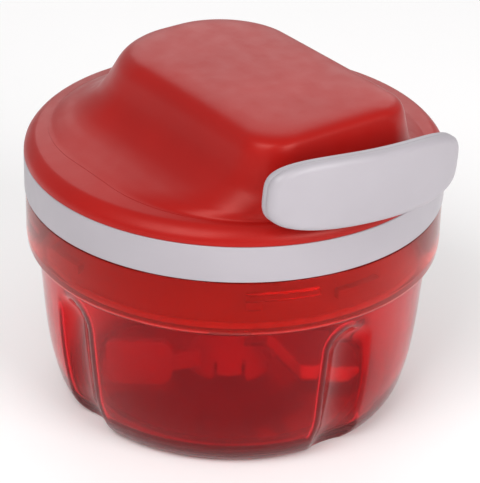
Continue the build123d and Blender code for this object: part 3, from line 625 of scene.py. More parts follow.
@dataclass(frozen=True)
class BraidedCord(Finish):
    """Braided polyester cord: short slanting strands that cross every millimetre or so.

    The low colour is painted shade in the valleys between strands and the high colour the strands' own.
    """

    strand_mm: float = 0.9
    strand_depth_mm: float = 0.15
    slant: float = 0.8
    wave_share: float = 0.3  # a wave texture draws about this many of its units as one band

    def looks(self, tree: Tree, where: Socket) -> tuple[Socket, dict[str, object]]:
        """Two sets of bands, one turned by the slant, multiplied so that only crossings stand out; the
        same pattern raises the bump and paints shade between the strands.

        Args:
            tree: the material's node tree.
            where: object coordinates, in metres.

        Returns:
            The pattern, from 0 to 1, and the inputs by name.
        """
        scale = self.wave_share * pattern_scale(self.strand_mm)
        turned = add_node(tree, "ShaderNodeMapping", inputs={
            "Vector": where, "Rotation": (0.0, 0.0, self.slant)})
        one = add_node(tree, "ShaderNodeTexWave", inputs={
            "Vector": turned.outputs["Vector"], "Scale": scale, "Distortion": 1.0})
        other = add_node(tree, "ShaderNodeTexWave", inputs={"Vector": where, "Scale": scale})
        both = add_node(tree, "ShaderNodeMath", {"operation": "MULTIPLY"},
                        {0: one.outputs["Fac"], 1: other.outputs["Fac"]})
        # The colour follows the strands' height: grey painted shade where they dip.
        strands = both.outputs["Value"]
        bump = add_node(tree, "ShaderNodeBump", inputs={
            "Strength": 1.0, "Distance": self.strand_depth_mm * MM, "Height": strands})
        return strands, {"Roughness": 0.8, "Sheen Weight": 0.2, "Normal": bump.outputs["Normal"]}


@dataclass(frozen=True)
class Palette:
    """Every material of the chopper, made once."""

    bowl: Material
    cover: Material
    white: Material
    hub: Material
    acetal: Material
    silicone: Material
    rubber: Material
    blade: Material
    steel: Material
    spring: Material
    cord: Material
    brass: Material

    @classmethod
    def mixed(cls) -> Palette:
        """Builds the materials from their finishes.

        Returns:
            The palette.
        """
        return cls(
            # Polished clear styrene: crisp reflections, a deeper red wherever the wall is thick, and a
            # lighter red painted on the collar as light from the white skirt behind it.
            bowl=TintedResin("red_styrene_clear", "#F82A36", "#FF4832").make(),
            # Satin red ABS: soft red highlights that the mould's grain breaks up.
            cover=MouldedAbs(
                "red_abs_satin", "#A0130F", "#97100D", specular=0.34, gloss="#FFB8B0").make(),
            # Pale grey ABS with a trace of violet, a little duller than the red.
            white=MouldedAbs("grey_white_abs_satin", "#A6A0A6", "#A19BA1", roughness=0.4).make(),
            # Undyed ABS: a lighter red shape when it is seen through the bowl.
            hub=MouldedAbs("natural_white_abs", "#E3DEDD", "#D8D2D0", roughness=0.42).make(),
            # Acetal: waxy and faintly yellow, as bearings and reels are.
            acetal=SoftPlastic("acetal_natural", "#E4E0D4", "#D8D3C5", 0.45, 1.48).make(),
            # Silicone: pale, with hardly a highlight.
            silicone=SoftPlastic("silicone_pale", "#D6D0CC", "#C9C2BE", 0.6, 1.41).make(),
            # Dark rubber: the dull line under the bowl's foot.
            rubber=SoftPlastic("rubber_dark_red", "#5A1216", "#4A0E12", 0.65, 1.52).make(),
            # Ground stainless steel: bright, with long fine lines.
            blade=WorkedMetal("stainless_ground", "#D2D3D5", "#B4B6BA", 0.2).make(),
            # Turned steel: greyer, with shorter and closer lines.
            steel=WorkedMetal("steel_turned", "#B9BABD", "#95979B", 0.3, 0.25, 6.0).make(),
            # Blued spring steel: dark, with a cold tint.
            spring=WorkedMetal("spring_steel_blued", "#5B6475", "#454B58", 0.32).make(),
            # Polyester braid: off-white strands, with grey painted shade in the valleys between them.
            cord=BraidedCord("polyester_braid", "#A39C90", "#E6E1D8").make(),
            # Plain brass: a warm bright bead.
            brass=WorkedMetal("brass_plain", "#D8B060", "#B98F42", 0.28).make(),
        )


# ---------------------------------------------------------------- bowl
@dataclass
class Bowl:
    """Tinted bowl with four grooves, a stepped collar and bayonet ramps."""

    # (radius, height) of the side wall's outer face
    wall: tuple[tuple[float, float], ...] = (
        (47.4, 0.0), (50.2, 2.5), (52.4, 6.2), (53.9, 11.0),
        (55.4, 18.0), (56.5, 27.0), (57.4, 38.0), (58.4, 48.5))
    wall_thickness: float = 2.1
    foot_flat: float = 46.6
    # inner radius, outer radius and depth of the foot ring's groove
    foot_groove: tuple[float, float, float] = (40.55, 43.45, 1.4)
    foot_round: float = 0.2
    # (radius, height, rounding) of the two corners under the collar
    shoulder: tuple[float, float, float] = (59.7, 49.3, 0.4)
    collar_foot: tuple[float, float, float] = (61.35, 50.9, 2.2)
    collar_radius: float = 61.7
    collar_inner: float = 59.4
    collar_start: float = 54.0
    collar_top: float = 67.2
    collar_round: float = 1.5
    rim_round: float = 0.45
    ledge: float = 51.0
    ledge_start: float = 1.0  # height above the ledge where the inner half of the outline starts
    ledge_round: float = 0.3
    throat_round: float = 0.4
    # floor: its height, its bend up into the wall, and two radii on it
    floor: float = 3.6
    floor_bend: tuple[float, float] = (49.6, 6.4)
    floor_edge: float = 44.0
    floor_middle: float = 30.0
    # radius and top of the boss, and radius and bottom of the pin's hole
    boss: tuple[float, float] = (4.6, 5.3)
    pin: tuple[float, float] = (2.0, 1.8)
    boss_foot_round: float = 0.6
    boss_top_round: float = 0.4
    groove_width: float = 15.0
    groove_depth: float = 3.0
    groove_arch: float = 37.3
    groove_soft: float = 0.5
    groove_top: float = 50.0
    # a groove's bottom: radius, slope and height of its two straight lines, and how softly they meet
    groove_high: tuple[float, float, float] = (52.4, 0.098, 18.0)
    groove_low: tuple[float, float, float] = (51.7, 0.47, 12.0)
    groove_bend: float = 1.2
    # beyond this distance inside a groove's surface the wall is left alone
    groove_reach: float = 12.0
    no_groove: float = 200.0
    # a ramp and its stop: first and last angle from the entry gap, bottom and top
    ramp_bars: tuple[tuple[float, float, float, float], ...] = (
        (-33.0, -12.5, 60.4, 62.6), (-33.0, -28.5, 57.6, 60.6))
    ramp_radii: tuple[float, float] = (58.0, 59.6)
    segments: int = 576

    def outside(self) -> np.ndarray:
        """Outer half of the outline: under the floor, up the wall, and over the rim to the ledge.

        Returns:
            Array of (r, z).
        """
        ring_in, ring_out, ring_depth = self.foot_groove
        low = rounded_path([
            (0, 0, 0), (ring_in, 0, self.foot_round), (ring_in, ring_depth, 0),
            (ring_out, ring_depth, 0), (ring_out, 0, self.foot_round), (self.foot_flat, 0, 0)], steps=2)
        side = catmull_rom(self.wall, per_span=6)[1:]
        collar = rounded_path([
            (*self.wall[-1], 0), self.shoulder, self.collar_foot,
            (self.collar_radius, self.collar_start, self.collar_round),
            (self.collar_radius, self.collar_top, self.rim_round),
            (self.collar_inner, self.collar_top, self.rim_round),
            (self.collar_inner, self.ledge, 0)], steps=5)
        return np.vstack([low, side, collar[1:]])

    def inside(self) -> np.ndarray:
        """Inner half of the outline: the ledge, down the wall, and along the floor to the pin's hole.

        Returns:
            Array of (r, z).
        """
        throat, throat_height = self.wall[-1][0] - self.wall_thickness, self.wall[-1][1]
        step = rounded_path([
            (self.collar_inner, self.ledge + self.ledge_start, 0),
            (self.collar_inner, self.ledge, self.ledge_round),
            (throat, self.ledge, self.throat_round), (throat, throat_height, 0)], steps=3)[1:]
        # The wall's outer points from the top down to the fourth, moved inwards.
        knots = [(r - self.wall_thickness, z) for r, z in self.wall[:2:-1]]
        side = catmull_rom([*knots, self.floor_bend, (self.floor_edge, self.floor)], per_span=6)[1:]
        boss_radius, boss_top = self.boss
        pin_radius, pin_bottom = self.pin
        middle = rounded_path([
            (self.floor_middle, self.floor, 0), (boss_radius, self.floor, self.boss_foot_round),
            (boss_radius, boss_top, self.boss_top_round), (pin_radius, boss_top, 0),
            (pin_radius, pin_bottom, 0), (0, pin_bottom, 0)], steps=3)
        return np.vstack([step, side, middle])

    def groove_floor(self, height: np.ndarray) -> np.ndarray:
        """Radius of a groove's deepest line: steep near the base, and nearly upright above.

        It is the soft minimum 0.5 (a + b - sqrt((a - b)^2 + k)) of two straight lines a and b.

        Args:
            height: heights to give it at.

        Returns:
            The radius at each height.
        """
        level = np.minimum(height, self.groove_arch)
        lines = (self.groove_high, self.groove_low)
        high, low = (radius + slope * (level - at) for radius, slope, at in lines)
        return 0.5 * (high + low - np.sqrt((high - low) ** 2 + self.groove_bend))

    def rings(self) -> np.ndarray:
        """Rings of the bowl.

        The radius is the soft minimum 0.5 (a + b - sqrt((a - b)^2 + k^2)) of the turned profile a and
        the groove b = floor + R - sqrt((R + inset)^2 - y^2 - h^2), where y is the distance from the
        groove's middle line, h the height above the middle of its arch, and inset the wall's
        thickness on the inner half of the profile.

        Returns:
            (rows, segments, 3) points.
        """
        outer, inner = self.outside(), self.inside()
        profile = np.vstack([outer, inner])
        inset = np.concatenate([np.zeros(len(outer)), np.full(len(inner), self.wall_thickness)])
        inset = inset[:, None]
        angle = np.arange(self.segments) * TAU / self.segments
        radius, height = profile[:, :1], profile[:, 1:2]
        scoop = (0.25 * self.groove_width**2 + self.groove_depth**2) / (2 * self.groove_depth)
        away = (angle + TAU / 8) % (TAU / 4) - TAU / 8
        across = radius * np.sin(away)
        above = np.maximum(height - self.groove_arch, 0.0)
        within = (scoop + inset) ** 2 - across**2 - above**2
        groove = self.groove_floor(height) + scoop - np.sqrt(np.maximum(within, 0.0))
        grooved = (within > 0.0) & (height <= self.groove_top)
        groove = np.where(grooved, groove, self.no_groove)
        blended = 0.5 * (radius + groove - np.sqrt((radius - groove) ** 2 + self.groove_soft**2))
        radius = np.where(groove - radius > self.groove_reach, radius, blended)
        return np.stack([radius * np.cos(angle), radius * np.sin(angle), height + 0.0 * angle], axis=-1)

    def build(self, palette: Palette) -> None:
        """Makes the bowl, and the ramps and stops that hang inside its collar.

        Args:
            palette: the materials.
        """
        shells = [Shell(capped(self.rings()))]
        shells += [bent_bar(gap, (start, end), self.ramp_radii, (low, high))
                   for gap in QUARTERS for start, end, low, high in self.ramp_bars]
        make_piece("bowl_shell", shells, palette.bowl, Body.BOWL, ["bowl"],
                   crease=50.0)


@dataclass
class SoftRings:
    """Silicone seal on the bowl's ledge and rubber foot ring under the bowl."""

    # inner radius, outer radius, bottom and top
    seal: tuple[float, float, float, float] = (55.3, 57.5, 51.0, 52.6)
    foot: tuple[float, float, float, float] = (40.6, 43.4, 0.0, 1.4)
    seal_round: float = 0.55
    foot_round: float = 0.35
    seam_gap: float = 0.01  # between the profile's first and last point, on the outer face
    segments: int = 192

    def ring(self, size: tuple[float, float, float, float], edge: float) -> Shell:
        """Ring with rounded edges.

        Args:
            size: inner and outer radius, bottom and top.
            edge: radius of its edges.

        Returns:
            The ring's surface.
        """
        inner, outer, bottom, top = size
        middle = 0.5 * (bottom + top)
        profile = rounded_path([
            (outer, middle, 0), (outer, top, edge), (inner, top, edge), (inner, bottom, edge),
            (outer, bottom, edge), (outer, middle - self.seam_gap, 0)], steps=4)
        return Shell(revolved(profile, self.segments), True)

    def build(self, palette: Palette) -> None:
        """Makes both rings.

        Args:
            palette: the materials.
        """
        make_piece("seal", [self.ring(self.seal, self.seal_round)], palette.silicone, Body.SEAL,
                   ["seal_ring"])
        make_piece("foot", [self.ring(self.foot, self.foot_round)], palette.rubber, Body.BOWL,
                   ["foot_ring"])


# ---------------------------------------------------------------- cover
@dataclass
class TopCover:
    """Red cover: a shallow dome with a raised back whose flanks flare into it."""

    # Each level of the raised back: height, half width, reach to the rear and to the front, and the
    # radii of its rear and front corners
    levels: tuple[tuple[float, ...], ...] = (
        (106.95, 8.0, 12.2, 31.2, 8.0, 5.0),
        (106.85, 15.1, 22.2, 39.1, 14.5, 7.0),
        (106.6, 20.0, 28.3, 44.6, 18.6, 8.6),
        (105.9, 23.8, 32.0, 47.8, 21.0, 9.8),
        (104.5, 25.9, 34.2, 49.3, 22.0, 10.6),
        (102.1, 27.3, 36.1, 50.0, 22.0, 11.2),
        (98.4, 28.4, 38.0, 50.5, 22.0, 12.0),
        (94.6, 29.7, 40.0, 51.2, 22.5, 13.6),
        (91.2, 31.8, 42.2, 52.2, 24.0, 16.5),
        (88.6, 35.3, 44.8, 53.2, 27.0, 21.0),
        (86.8, 39.7, 47.7, 54.2, 32.0, 28.0),
        (85.5, 44.4, 50.8, 54.9, 37.5, 35.5),
        (84.0, 48.6, 53.2, 55.6, 43.0, 42.5),
        (81.4, 51.0, 54.6, 56.2, 46.0, 46.0),
    )
    least_side: float = 0.01  # straight that is left between two corners
    crease_round: float = 0.9
    crown_fall: float = 0.00025
    crown_start: float = 104.0
    crown_rise: float = 3.0
    dome_top: float = 87.95
    dome_fall: float = 0.00129
    dome_edge: float = 57.6
    dome_rows: int = 9
    rim: tuple[tuple[float, float], ...] = (
        (58.6, 83.45), (59.8, 82.75), (60.8, 81.8), (61.5, 80.8),
        (61.85, 79.8), (61.95, 79.0), (61.95, 78.75))
    lower_edge: float = 78.5
    lip_share: float = 0.997
    wall: float = 2.2
    eye_radius: float = 2.25
    eye_proud: float = 0.8
    pad_radius: float = 3.5
    pad_depth: float = 5.5
    pad_round: float = 0.4
    bore_round: float = 0.2
    seam_gap: float = 0.1
    segments: int = 288

    def outline(
        self, half_width: float, rear: float, front: float, rear_corner: float, front_corner: float
    ) -> np.ndarray:
        """Rounded rectangle seen from its middle: the ray at each angle meets a side or a corner's arc.

        Args:
            half_width: reach to either side.
            rear: reach to the rear.
            front: reach to the front.
            rear_corner: radius of the rear corners.
            front_corner: radius of the front corners.

        Returns:
            Array of (x, y).
        """
        angle = np.arange(self.segments) * TAU / self.segments
        half_length = 0.5 * (front + rear)
        corner = np.where(np.cos(angle) > 0.0, front_corner, rear_corner)
        corner = np.minimum(corner, min(half_width, half_length) - self.least_side)
        across, along = np.abs(np.sin(angle)), np.abs(np.cos(angle))
        to_front = half_length / np.maximum(along, NEARLY_0)
        to_side = half_width / np.maximum(across, NEARLY_0)
        reach = np.minimum(to_front, to_side)
        centre_x, centre_y = half_length - corner, half_width - corner
        in_corner = (reach * along > centre_x) & (reach * across > centre_y)
        dot = centre_x * along + centre_y * across
        arc = dot + np.sqrt(np.maximum(dot**2 - centre_x**2 - centre_y**2 + corner**2, 0.0))
        reach = np.where(in_corner, arc, reach)
        middle = 0.5 * (front - rear)
        return np.stack([middle + reach * np.cos(angle), reach * np.sin(angle)], axis=-1)

    def dome_height(self, plan: np.ndarray) -> np.ndarray:
        """Height of the dome over points of the plan: z = top - fall r^2."""
        return self.dome_top - self.dome_fall * (plan**2).sum(-1)

    def rings(self) -> np.ndarray:
        """Rings from the crown, down the flanks, out over the dome and down its rim.

        The crown falls off with the square of the distance from the axis. Where a flank runs into
        the dome, the height is the soft maximum 0.5 (a + b + sqrt((a - b)^2 + k^2)) of the flank a
        and the dome b.

        Returns:
            (rows, segments, 3) points.
        """
        rows = []
        for height, *sizes in catmull_rom(self.levels, per_span=5):
            plan = self.outline(*sizes)
            share = max(0.0, (height - self.crown_start) / self.crown_rise)
            crowned = height - self.crown_fall * (plan**2).sum(-1) * share
            dome = self.dome_height(plan)
            level = 0.5 * (crowned + dome + np.sqrt((crowned - dome) ** 2 + self.crease_round**2))
            rows.append(np.concatenate([plan, level[:, None]], axis=1))
        foot = rows[-1][:, :2]
        angle = np.arctan2(foot[:, 1], foot[:, 0])
        edge = self.dome_edge * np.stack([np.cos(angle), np.sin(angle)], axis=-1)
        for share in np.linspace(0.0, 1.0, self.dome_rows):
            plan = (1.0 - share) * foot + share * edge
            rows.append(np.concatenate([plan, self.dome_height(plan)[:, None]], axis=1))
        knots = [(self.dome_edge, self.dome_height(np.array([self.dome_edge, 0.0]))), *self.rim]
        for radius, height in catmull_rom(knots, per_span=3)[1:]:
            ring = radius / self.dome_edge * edge
            rows.append(np.concatenate([ring, np.full((len(ring), 1), height)], axis=1))
        lip = rows[-1][:, :2] * self.lip_share
        rows.append(np.concatenate([lip, np.full((len(lip), 1), self.lower_edge)], axis=1))
        return np.stack(rows)

    def build(self, palette: Palette) -> None:
        """Makes the shell, one sheet that is thickened inwards, and its cord outlet.

        Args:
            palette: the materials.
        """
        rings = self.rings()
        crown = np.broadcast_to(rings[0].mean(0), rings[0].shape)
        shell = make_piece("cover_shell", [Shell(np.concatenate([crown[None], rings]))], palette.cover,
                           Body.COVER, ["top_cover"], crease=60.0, open_side=True)
        wall = shell.modifiers.new("wall", "SOLIDIFY")
        wall.thickness = self.wall * MM
        wall.offset = -1.0
        wall.use_even_offset = True
        self.outlet(palette)

    def outlet(self, palette: Palette) -> None:
        """Round pad on the front of the raised back, in which the cord's eye sits.

        Args:
            palette: the materials.
        """
        low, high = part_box("cord_eyelet")
        front = high.x / MM - self.eye_proud
        axis_height = 0.5 * (low.z + high.z) / MM
        profile = rounded_path([
            (self.eye_radius, self.pad_depth, 0), (self.pad_radius, self.pad_depth, self.bore_round),
            (self.pad_radius, 0.0, self.pad_round), (self.eye_radius, 0.0, self.bore_round),
            (self.eye_radius, self.pad_depth - self.seam_gap, 0)], steps=5)
        rings = revolved(profile, segments=64)
        turned = np.stack([front - rings[..., 2], rings[..., 0], axis_height + rings[..., 1]], axis=-1)
        make_piece("cord_outlet", [Shell(turned, True)], palette.cover, Body.COVER)


@dataclass
class CoverBase:
    """White base of the cover: outer band, deck, inner skirt, bayonet lugs and screw posts."""

    band_radius: float = 62.0
    band_inner: float = 59.2
    band_bottom: float = 67.5
    band_top: float = 78.5
    edge_round: float = 0.45
    deck_bottom: float = 68.5
    deck_top: float = 70.5
    skirt_radius: float = 57.2
    skirt_inner: float = 55.0
    skirt_bottom: float = 52.6
    centre_hole: float = 9.11
    deck_round: float = 0.5
    skirt_round: float = 0.4
    band_foot_round: float = 0.3
    fine_round: float = 0.2
    seam_height: float = 72.0
    seam_gap: float = 0.1
    lug_root: float = 56.2
    lug_radius: float = 59.1
    lug_low: float = 57.6
    lug_high: float = 60.2
    lug_angle: float = 14.0
    post_circle: float = 46.5
    post_radius: float = 3.2
    post_bottom: float = 56.0
    post_sunk: float = 0.5
    screw_hole: float = 1.55

    def post(self, angle_deg: float) -> Shell:
        """Hollow post under the deck that takes a screw.

        Args:
            angle_deg: where it stands, in degrees.

        Returns:
            The post's surface.
        """
        top = self.deck_bottom + self.post_sunk
        profile = np.array([(self.post_radius, top), (self.post_radius, self.post_bottom),
                            (self.screw_hole, self.post_bottom), (self.screw_hole, top)])
        angle = math.radians(angle_deg)
        place = np.array([self.post_circle * math.cos(angle), self.post_circle * math.sin(angle), 0.0])
        return Shell(revolved(profile, segments=32) + place, True)

    def body(self) -> Shell:
        """Band, deck and skirt: one outline turned about the axis.

        Returns:
            Their surface.
        """
        profile = rounded_path([
            (self.band_radius, self.seam_height, 0), (self.band_radius, self.band_top, self.edge_round),
            (self.band_inner, self.band_top, self.edge_round),
            (self.band_inner, self.deck_top, self.deck_round),
            (self.centre_hole, self.deck_top, self.fine_round),
            (self.centre_hole, self.deck_bottom, self.fine_round),
            (self.skirt_inner, self.deck_bottom, self.deck_round),
            (self.skirt_inner, self.skirt_bottom, self.skirt_round),
            (self.skirt_radius, self.skirt_bottom, self.skirt_round),
            (self.skirt_radius, self.deck_bottom, self.skirt_round),
            (self.band_inner, self.deck_bottom, self.fine_round),
            (self.band_inner, self.band_bottom, self.band_foot_round),
            (self.band_radius, self.band_bottom, self.edge_round),
            (self.band_radius, self.seam_height - self.seam_gap, 0)], steps=4)
        return Shell(revolved(profile, segments=288), True)

    def build(self, palette: Palette) -> None:
        """Makes the base as one piece, with its lugs and posts.

        Args:
            palette: the materials.
        """
        half = 0.5 * self.lug_angle
        radii, levels = (self.lug_root, self.lug_radius), (self.lug_low, self.lug_high)
        shells = [self.body()]
        shells += [bent_bar(middle, (-half, half), radii, levels) for middle in QUARTERS]
        shells += [self.post(middle) for middle in QUARTERS]
        make_piece("cover_band", shells, palette.white, Body.COVER, ["cover_base"])


# ---------------------------------------------------------------- handle and cord
@dataclass
class Handle:
    """Curved grip of two shells that clip together, hung askew on the cord."""

    front_x: float = 67.2
    cord_height: float = 93.4
    half_length: float = 33.3
    half_height: float = 10.6
    power: float = 3.6
    curve_radius: float = 95.0
    seam_depth: float = 2.5
    thickness: float = 5.2
    front_round: float = 1.9
    back_round: float = 1.5
    pillow: float = 0.35
    roll_deg: float = -5.0
    edge_rows: int = 9
    seam_gap: float = 0.12
    face_gap: float = 0.02  # between each shell's mating face and the seam
    # rows of a face, as shares of its outline
    shares: tuple[float, ...] = (0.03, 0.15, 0.3, 0.45, 0.6, 0.72, 0.82, 0.9, 0.96)
    neck_radius: float = 4.5
    neck_start: float = 56.2
    neck_bore: float = 1.2
    neck_round: float = 0.6
    neck_flare: float = 1.4
    neck_flare_round: float = 1.5
    neck_sunk: float = 0.6
    bore_round: float = 0.2
    bore_seam: float = 0.05
    cord_radius: float = 1.0
    cord_rows: int = 60
    cord_columns: int = 24
    columns: int = 220

    def outline(self, inset: float) -> np.ndarray:
        """Superellipse |y/a|^n + |z/b|^n = 1, moved inwards along its normal.

        Args:
            inset: distance inwards.

        Returns:
            Array of (y, z).
        """
        angle = (np.arange(self.columns) + 0.5) * TAU / self.columns
        c, s = np.cos(angle), np.sin(angle)
        reach = (np.abs(c) ** self.power + np.abs(s) ** self.power) ** (-1.0 / self.power)
        y, z = self.half_length * reach * c, self.half_height * reach * s
        out_y = np.sign(y) * np.abs(y / self.half_length) ** (self.power - 1) / self.half_length
        out_z = np.sign(z) * np.abs(z / self.half_height) ** (self.power - 1) / self.half_height
        size = np.hypot(out_y, out_z)
        return np.stack([y - inset * out_y / size, z - inset * out_z / size], axis=-1)

    def surface(self, steps: Sequence[tuple[float, float, float]]) -> np.ndarray:
        """Rings of a shell.

        Each step is (share, inset, depth): the outline inset by that much and shrunk to that share,
        at x = front - depth - (R - sqrt(R^2 - y^2)), less a pillow that falls off with height.

        Args:
            steps: the steps, from the middle of one face to the middle of the other.

        Returns:
            Rings, rolled about the cord.
        """
        rows = []
        for share, inset, depth in steps:
            plan = share * self.outline(inset)
            y, z = plan[:, 0], plan[:, 1]
            bend = self.curve_radius - np.sqrt(self.curve_radius**2 - y**2)
            pillow = self.pillow * (z / self.half_height) ** 2 * max(0.0, 1.0 - depth / self.seam_depth)
            rows.append(np.stack([self.front_x - depth - bend - pillow, y, z], axis=-1))
        rings = np.stack(rows)
        roll = math.radians(self.roll_deg)
        y = rings[..., 1] * math.cos(roll) - rings[..., 2] * math.sin(roll)
        z = rings[..., 1] * math.sin(roll) + rings[..., 2] * math.cos(roll)
        return np.stack([rings[..., 0], y, z + self.cord_height], axis=-1)

    def edge(
        self, radius: float, start_depth: float, opening: bool
    ) -> list[tuple[float, float, float]]:
        """Quarter round of an edge: inset = r (1 - sin t), depth = start + r (1 - cos t) or its mirror.

        Args:
            radius: the edge's radius.
            start_depth: depth of the face that it joins.
            opening: whether the rows go from that face outwards, or back to it.

        Returns:
            Steps of (share, inset, depth).
        """
        turn = np.linspace(0.0, 0.5 * math.pi, self.edge_rows)
        inset = radius * (1.0 - np.sin(turn))
        drop = radius * (1.0 - np.cos(turn))
        steps = [(1.0, float(i), start_depth + float(d)) for i, d in zip(inset, drop)]
        if opening:
            return steps
        return [(1.0, i, 2 * start_depth - d) for _, i, d in reversed(steps)]

    def build(self, palette: Palette) -> None:
        """Makes both shells, the neck and the cord's stretch.

        Args:
            palette: the materials.
        """
        seam, inwards = self.seam_gap, tuple(reversed(self.shares))
        near, far = self.seam_depth - self.face_gap, self.seam_depth + self.face_gap
        front = [(share, self.front_round, 0.0) for share in self.shares]
        front += self.edge(self.front_round, 0.0, True)
        front += [(1.0, 0.0, self.seam_depth - 2 * seam), (1.0, seam, near)]
        front += [(share, seam, near) for share in inwards]
        make_piece("handle_face", [Shell(capped(self.surface(front)))], palette.white, Body.HANDLE,
                   ["handle_front"])
        back = [(share, seam, far) for share in self.shares]
        back += [(1.0, seam, far), (1.0, 0.0, self.seam_depth + 2 * seam)]
        back += self.edge(self.back_round, self.thickness, False)
        back += [(share, self.back_round, self.thickness) for share in inwards]
        shells = [Shell(capped(self.surface(back))), self.neck()]
        make_piece("handle_rear", shells, palette.white, Body.HANDLE,
                   ["handle_back"])
        self.cord(palette)

    def neck(self) -> Shell:
        """Hollow neck that the cord runs through, flared where it joins the rear shell.

        Returns:
            The neck's surface.
        """
        length = self.front_x - self.thickness + self.neck_sunk - self.neck_start
        profile = rounded_path([
            (self.neck_bore, 0.0, self.bore_round), (self.neck_radius, 0.0, self.neck_round),
            (self.neck_radius, length - self.neck_flare, self.neck_flare_round),
            (self.neck_radius + self.neck_flare, length, 0), (self.neck_bore, length, 0)], steps=6)
        rings = revolved(np.vstack([(self.neck_bore, self.bore_seam), profile[1:]]), segments=48)
        flat = [self.neck_start + rings[..., 2], rings[..., 0], self.cord_height + rings[..., 1]]
        return Shell(np.stack(flat, axis=-1), True)

    def cord(self, palette: Palette) -> None:
        """Cord between the eye and the handle: a straight tube along X.

        Args:
            palette: the materials.
        """
        start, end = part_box("cord_end")
        along = np.linspace(start.x / MM, end.x / MM, self.cord_rows)[:, None]
        angle = np.arange(self.cord_columns) * TAU / self.cord_columns
        across, up = self.cord_radius * np.cos(angle), self.cord_radius * np.sin(angle)
        flat = [along + 0.0 * angle, across + 0.0 * along, self.cord_height + up + 0.0 * along]
        cord = make_piece("cord_run", [Shell(capped(np.stack(flat, axis=-1)))], palette.cord, None,
                          ["cord_end"])
        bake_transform(cord)


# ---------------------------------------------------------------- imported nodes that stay
@dataclass
class Mechanism:
    """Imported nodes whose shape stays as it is: the blade unit, the reel, the clutch and the screws."""

    def finishes(self, palette: Palette) -> dict[str, Material]:
        """Finish of each node.

        Args:
            palette: the materials.

        Returns:
            A material for each node's name.
        """
        groups = (
            (palette.steel, (
                "spindle_pin", "lower_cover_screws", "cover_screws", "housing_screws", "cord_eyelet",
                "reel_axle", "thrust_washer", "spring_cover", "pawl_pins", "pawl_a", "pawl_b")),
            (palette.acetal, ("deck_bush", "spring_housing", "cord_reel", "pawl_carrier", "drive_cup")),
            (palette.hub, ("blade_hub", "mixing_paddle")),
            (palette.blade, ("upper_blade", "lower_blade")),
            (palette.spring, ("axle_clip", "recoil_spring")),
            (palette.cord, ("cord_winding", "cord_lead")),
            (palette.white, ("lower_cover",)),
            (palette.brass, ("cord_stopper",)),
        )
        return {node: material for material, nodes in groups for node in nodes}

    def dress(self, nodes: Mapping[str, bpy.types.Object], palette: Palette) -> None:
        """Gives each node its finish.

        Args:
            nodes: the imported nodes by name.
            palette: the materials.
        """
        for name, material in self.finishes(palette).items():
            for slot in nodes[name].material_slots:
                slot.material = material
            LOG.info("%s: %s", name, material.name)


# ---------------------------------------------------------------- studio
@dataclass(frozen=True)
class SoftBox:
    """Rectangular light that faces the chopper. Lengths in millimetres, power in watts."""

    name: str
    place: tuple[float, float, float]
    width: float
    height: float
    watts: float
    aim_height: float = 60.0

    def build(self) -> None:
        """Makes the light."""
        data = bpy.data.lights.new(self.name, "AREA")
        data.shape = "RECTANGLE"
        data.size, data.size_y = self.width * MM, self.height * MM
        data.energy = self.watts
        light = bpy.data.objects.new(self.name, data)
        bpy.context.scene.collection.objects.link(light)
        light.location = Vector(self.place) * MM
        aim = Vector((0.0, 0.0, self.aim_height * MM)) - light.location
        light.rotation_mode = "QUATERNION"
        light.rotation_quaternion = aim.to_track_quat("-Z", "Y")


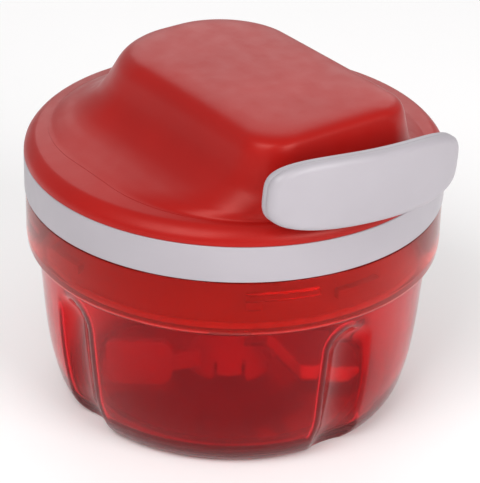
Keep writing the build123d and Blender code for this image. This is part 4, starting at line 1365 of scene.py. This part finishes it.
@dataclass
class Studio:
    """Pale floor, soft boxes and the camera at the photograph's angle."""

    azimuth: float = 53.0
    elevation: float = 28.36
    distance: float = 700.0
    target: tuple[float, float, float] = (1.33, 1.77, 47.02)
    focal_px: float = 2327.2
    picture_px: float = 483.0
    sensor_mm: float = 36.0
    roll: float = 1.54
    floor_half_m: float = 6.0
    floor_colour: str = "#FCFBFB"
    world_strength: float = 0.5
    boxes: tuple[SoftBox, ...] = (
        SoftBox("key_box", (280.0, -680.0, 800.0), 600.0, 600.0, 6.2),
        SoftBox("back_box", (-750.0, 560.0, 560.0), 900.0, 600.0, 2.2),
        SoftBox("side_box", (780.0, 100.0, 420.0), 500.0, 500.0, 4.3),
    )

    def back(self) -> Vector:
        """Unit vector from the target to the camera."""
        a, e = math.radians(self.azimuth), math.radians(self.elevation)
        return Vector((math.sin(a) * math.cos(e), -math.cos(a) * math.cos(e), math.sin(e)))

    def camera(self) -> None:
        """Makes the scene's camera."""
        data = bpy.data.cameras.new("camera")
        data.sensor_width = self.sensor_mm
        data.lens = self.sensor_mm * self.focal_px / self.picture_px
        camera = bpy.data.objects.new("camera", data)
        bpy.context.scene.collection.objects.link(camera)
        camera.location = (Vector(self.target) + self.back() * self.distance) * MM
        camera.rotation_mode = "QUATERNION"
        aim = (-self.back()).to_track_quat("-Z", "Y")
        camera.rotation_quaternion = aim @ Quaternion((0.0, 0.0, 1.0), math.radians(self.roll))
        bpy.context.scene.camera = camera

    def floor(self) -> None:
        """Wide pale floor, matt and plain, so that nothing on it draws the eye."""
        half = self.floor_half_m
        corners = [(-half, -half, 0), (half, -half, 0), (half, half, 0), (-half, half, 0)]
        mesh = bpy.data.meshes.new("floor")
        mesh.from_pydata(corners, [], [(0, 1, 2, 3)])
        material = bpy.data.materials.new("floor_matt_white")
        material.use_nodes = True
        shader = material.node_tree.nodes["Principled BSDF"]
        looks = {"Base Color": linear(self.floor_colour), "Roughness": 0.9, "Specular IOR Level": 0.2}
        for socket, value in looks.items():
            shader.inputs[socket].default_value = value
        mesh.materials.append(material)
        floor = bpy.data.objects.new("floor", mesh)
        bpy.context.scene.collection.objects.link(floor)

    def world(self) -> None:
        """Even white surroundings."""
        world = bpy.data.worlds.new("studio")
        world.use_nodes = True
        background = world.node_tree.nodes["Background"]
        background.inputs["Color"].default_value = (1.0, 1.0, 1.0, 1.0)
        background.inputs["Strength"].default_value = self.world_strength
        bpy.context.scene.world = world

    def build(self) -> None:
        """Makes the studio."""
        self.floor()
        self.world()
        for box in self.boxes:
            box.build()
        self.camera()
        bpy.context.scene.view_settings.view_transform = "Standard"


def main() -> None:
    """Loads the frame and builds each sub-assembly in order."""
    logging.basicConfig(level=logging.INFO, format="%(name)s %(message)s")
    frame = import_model()
    palette = Palette.mixed()
    Bowl().build(palette)
    SoftRings().build(palette)
    CoverBase().build(palette)
    TopCover().build(palette)
    Handle().build(palette)
    Mechanism().dress(frame["nodes"], palette)
    Studio().build()


if __name__ == "__main__":
    main()
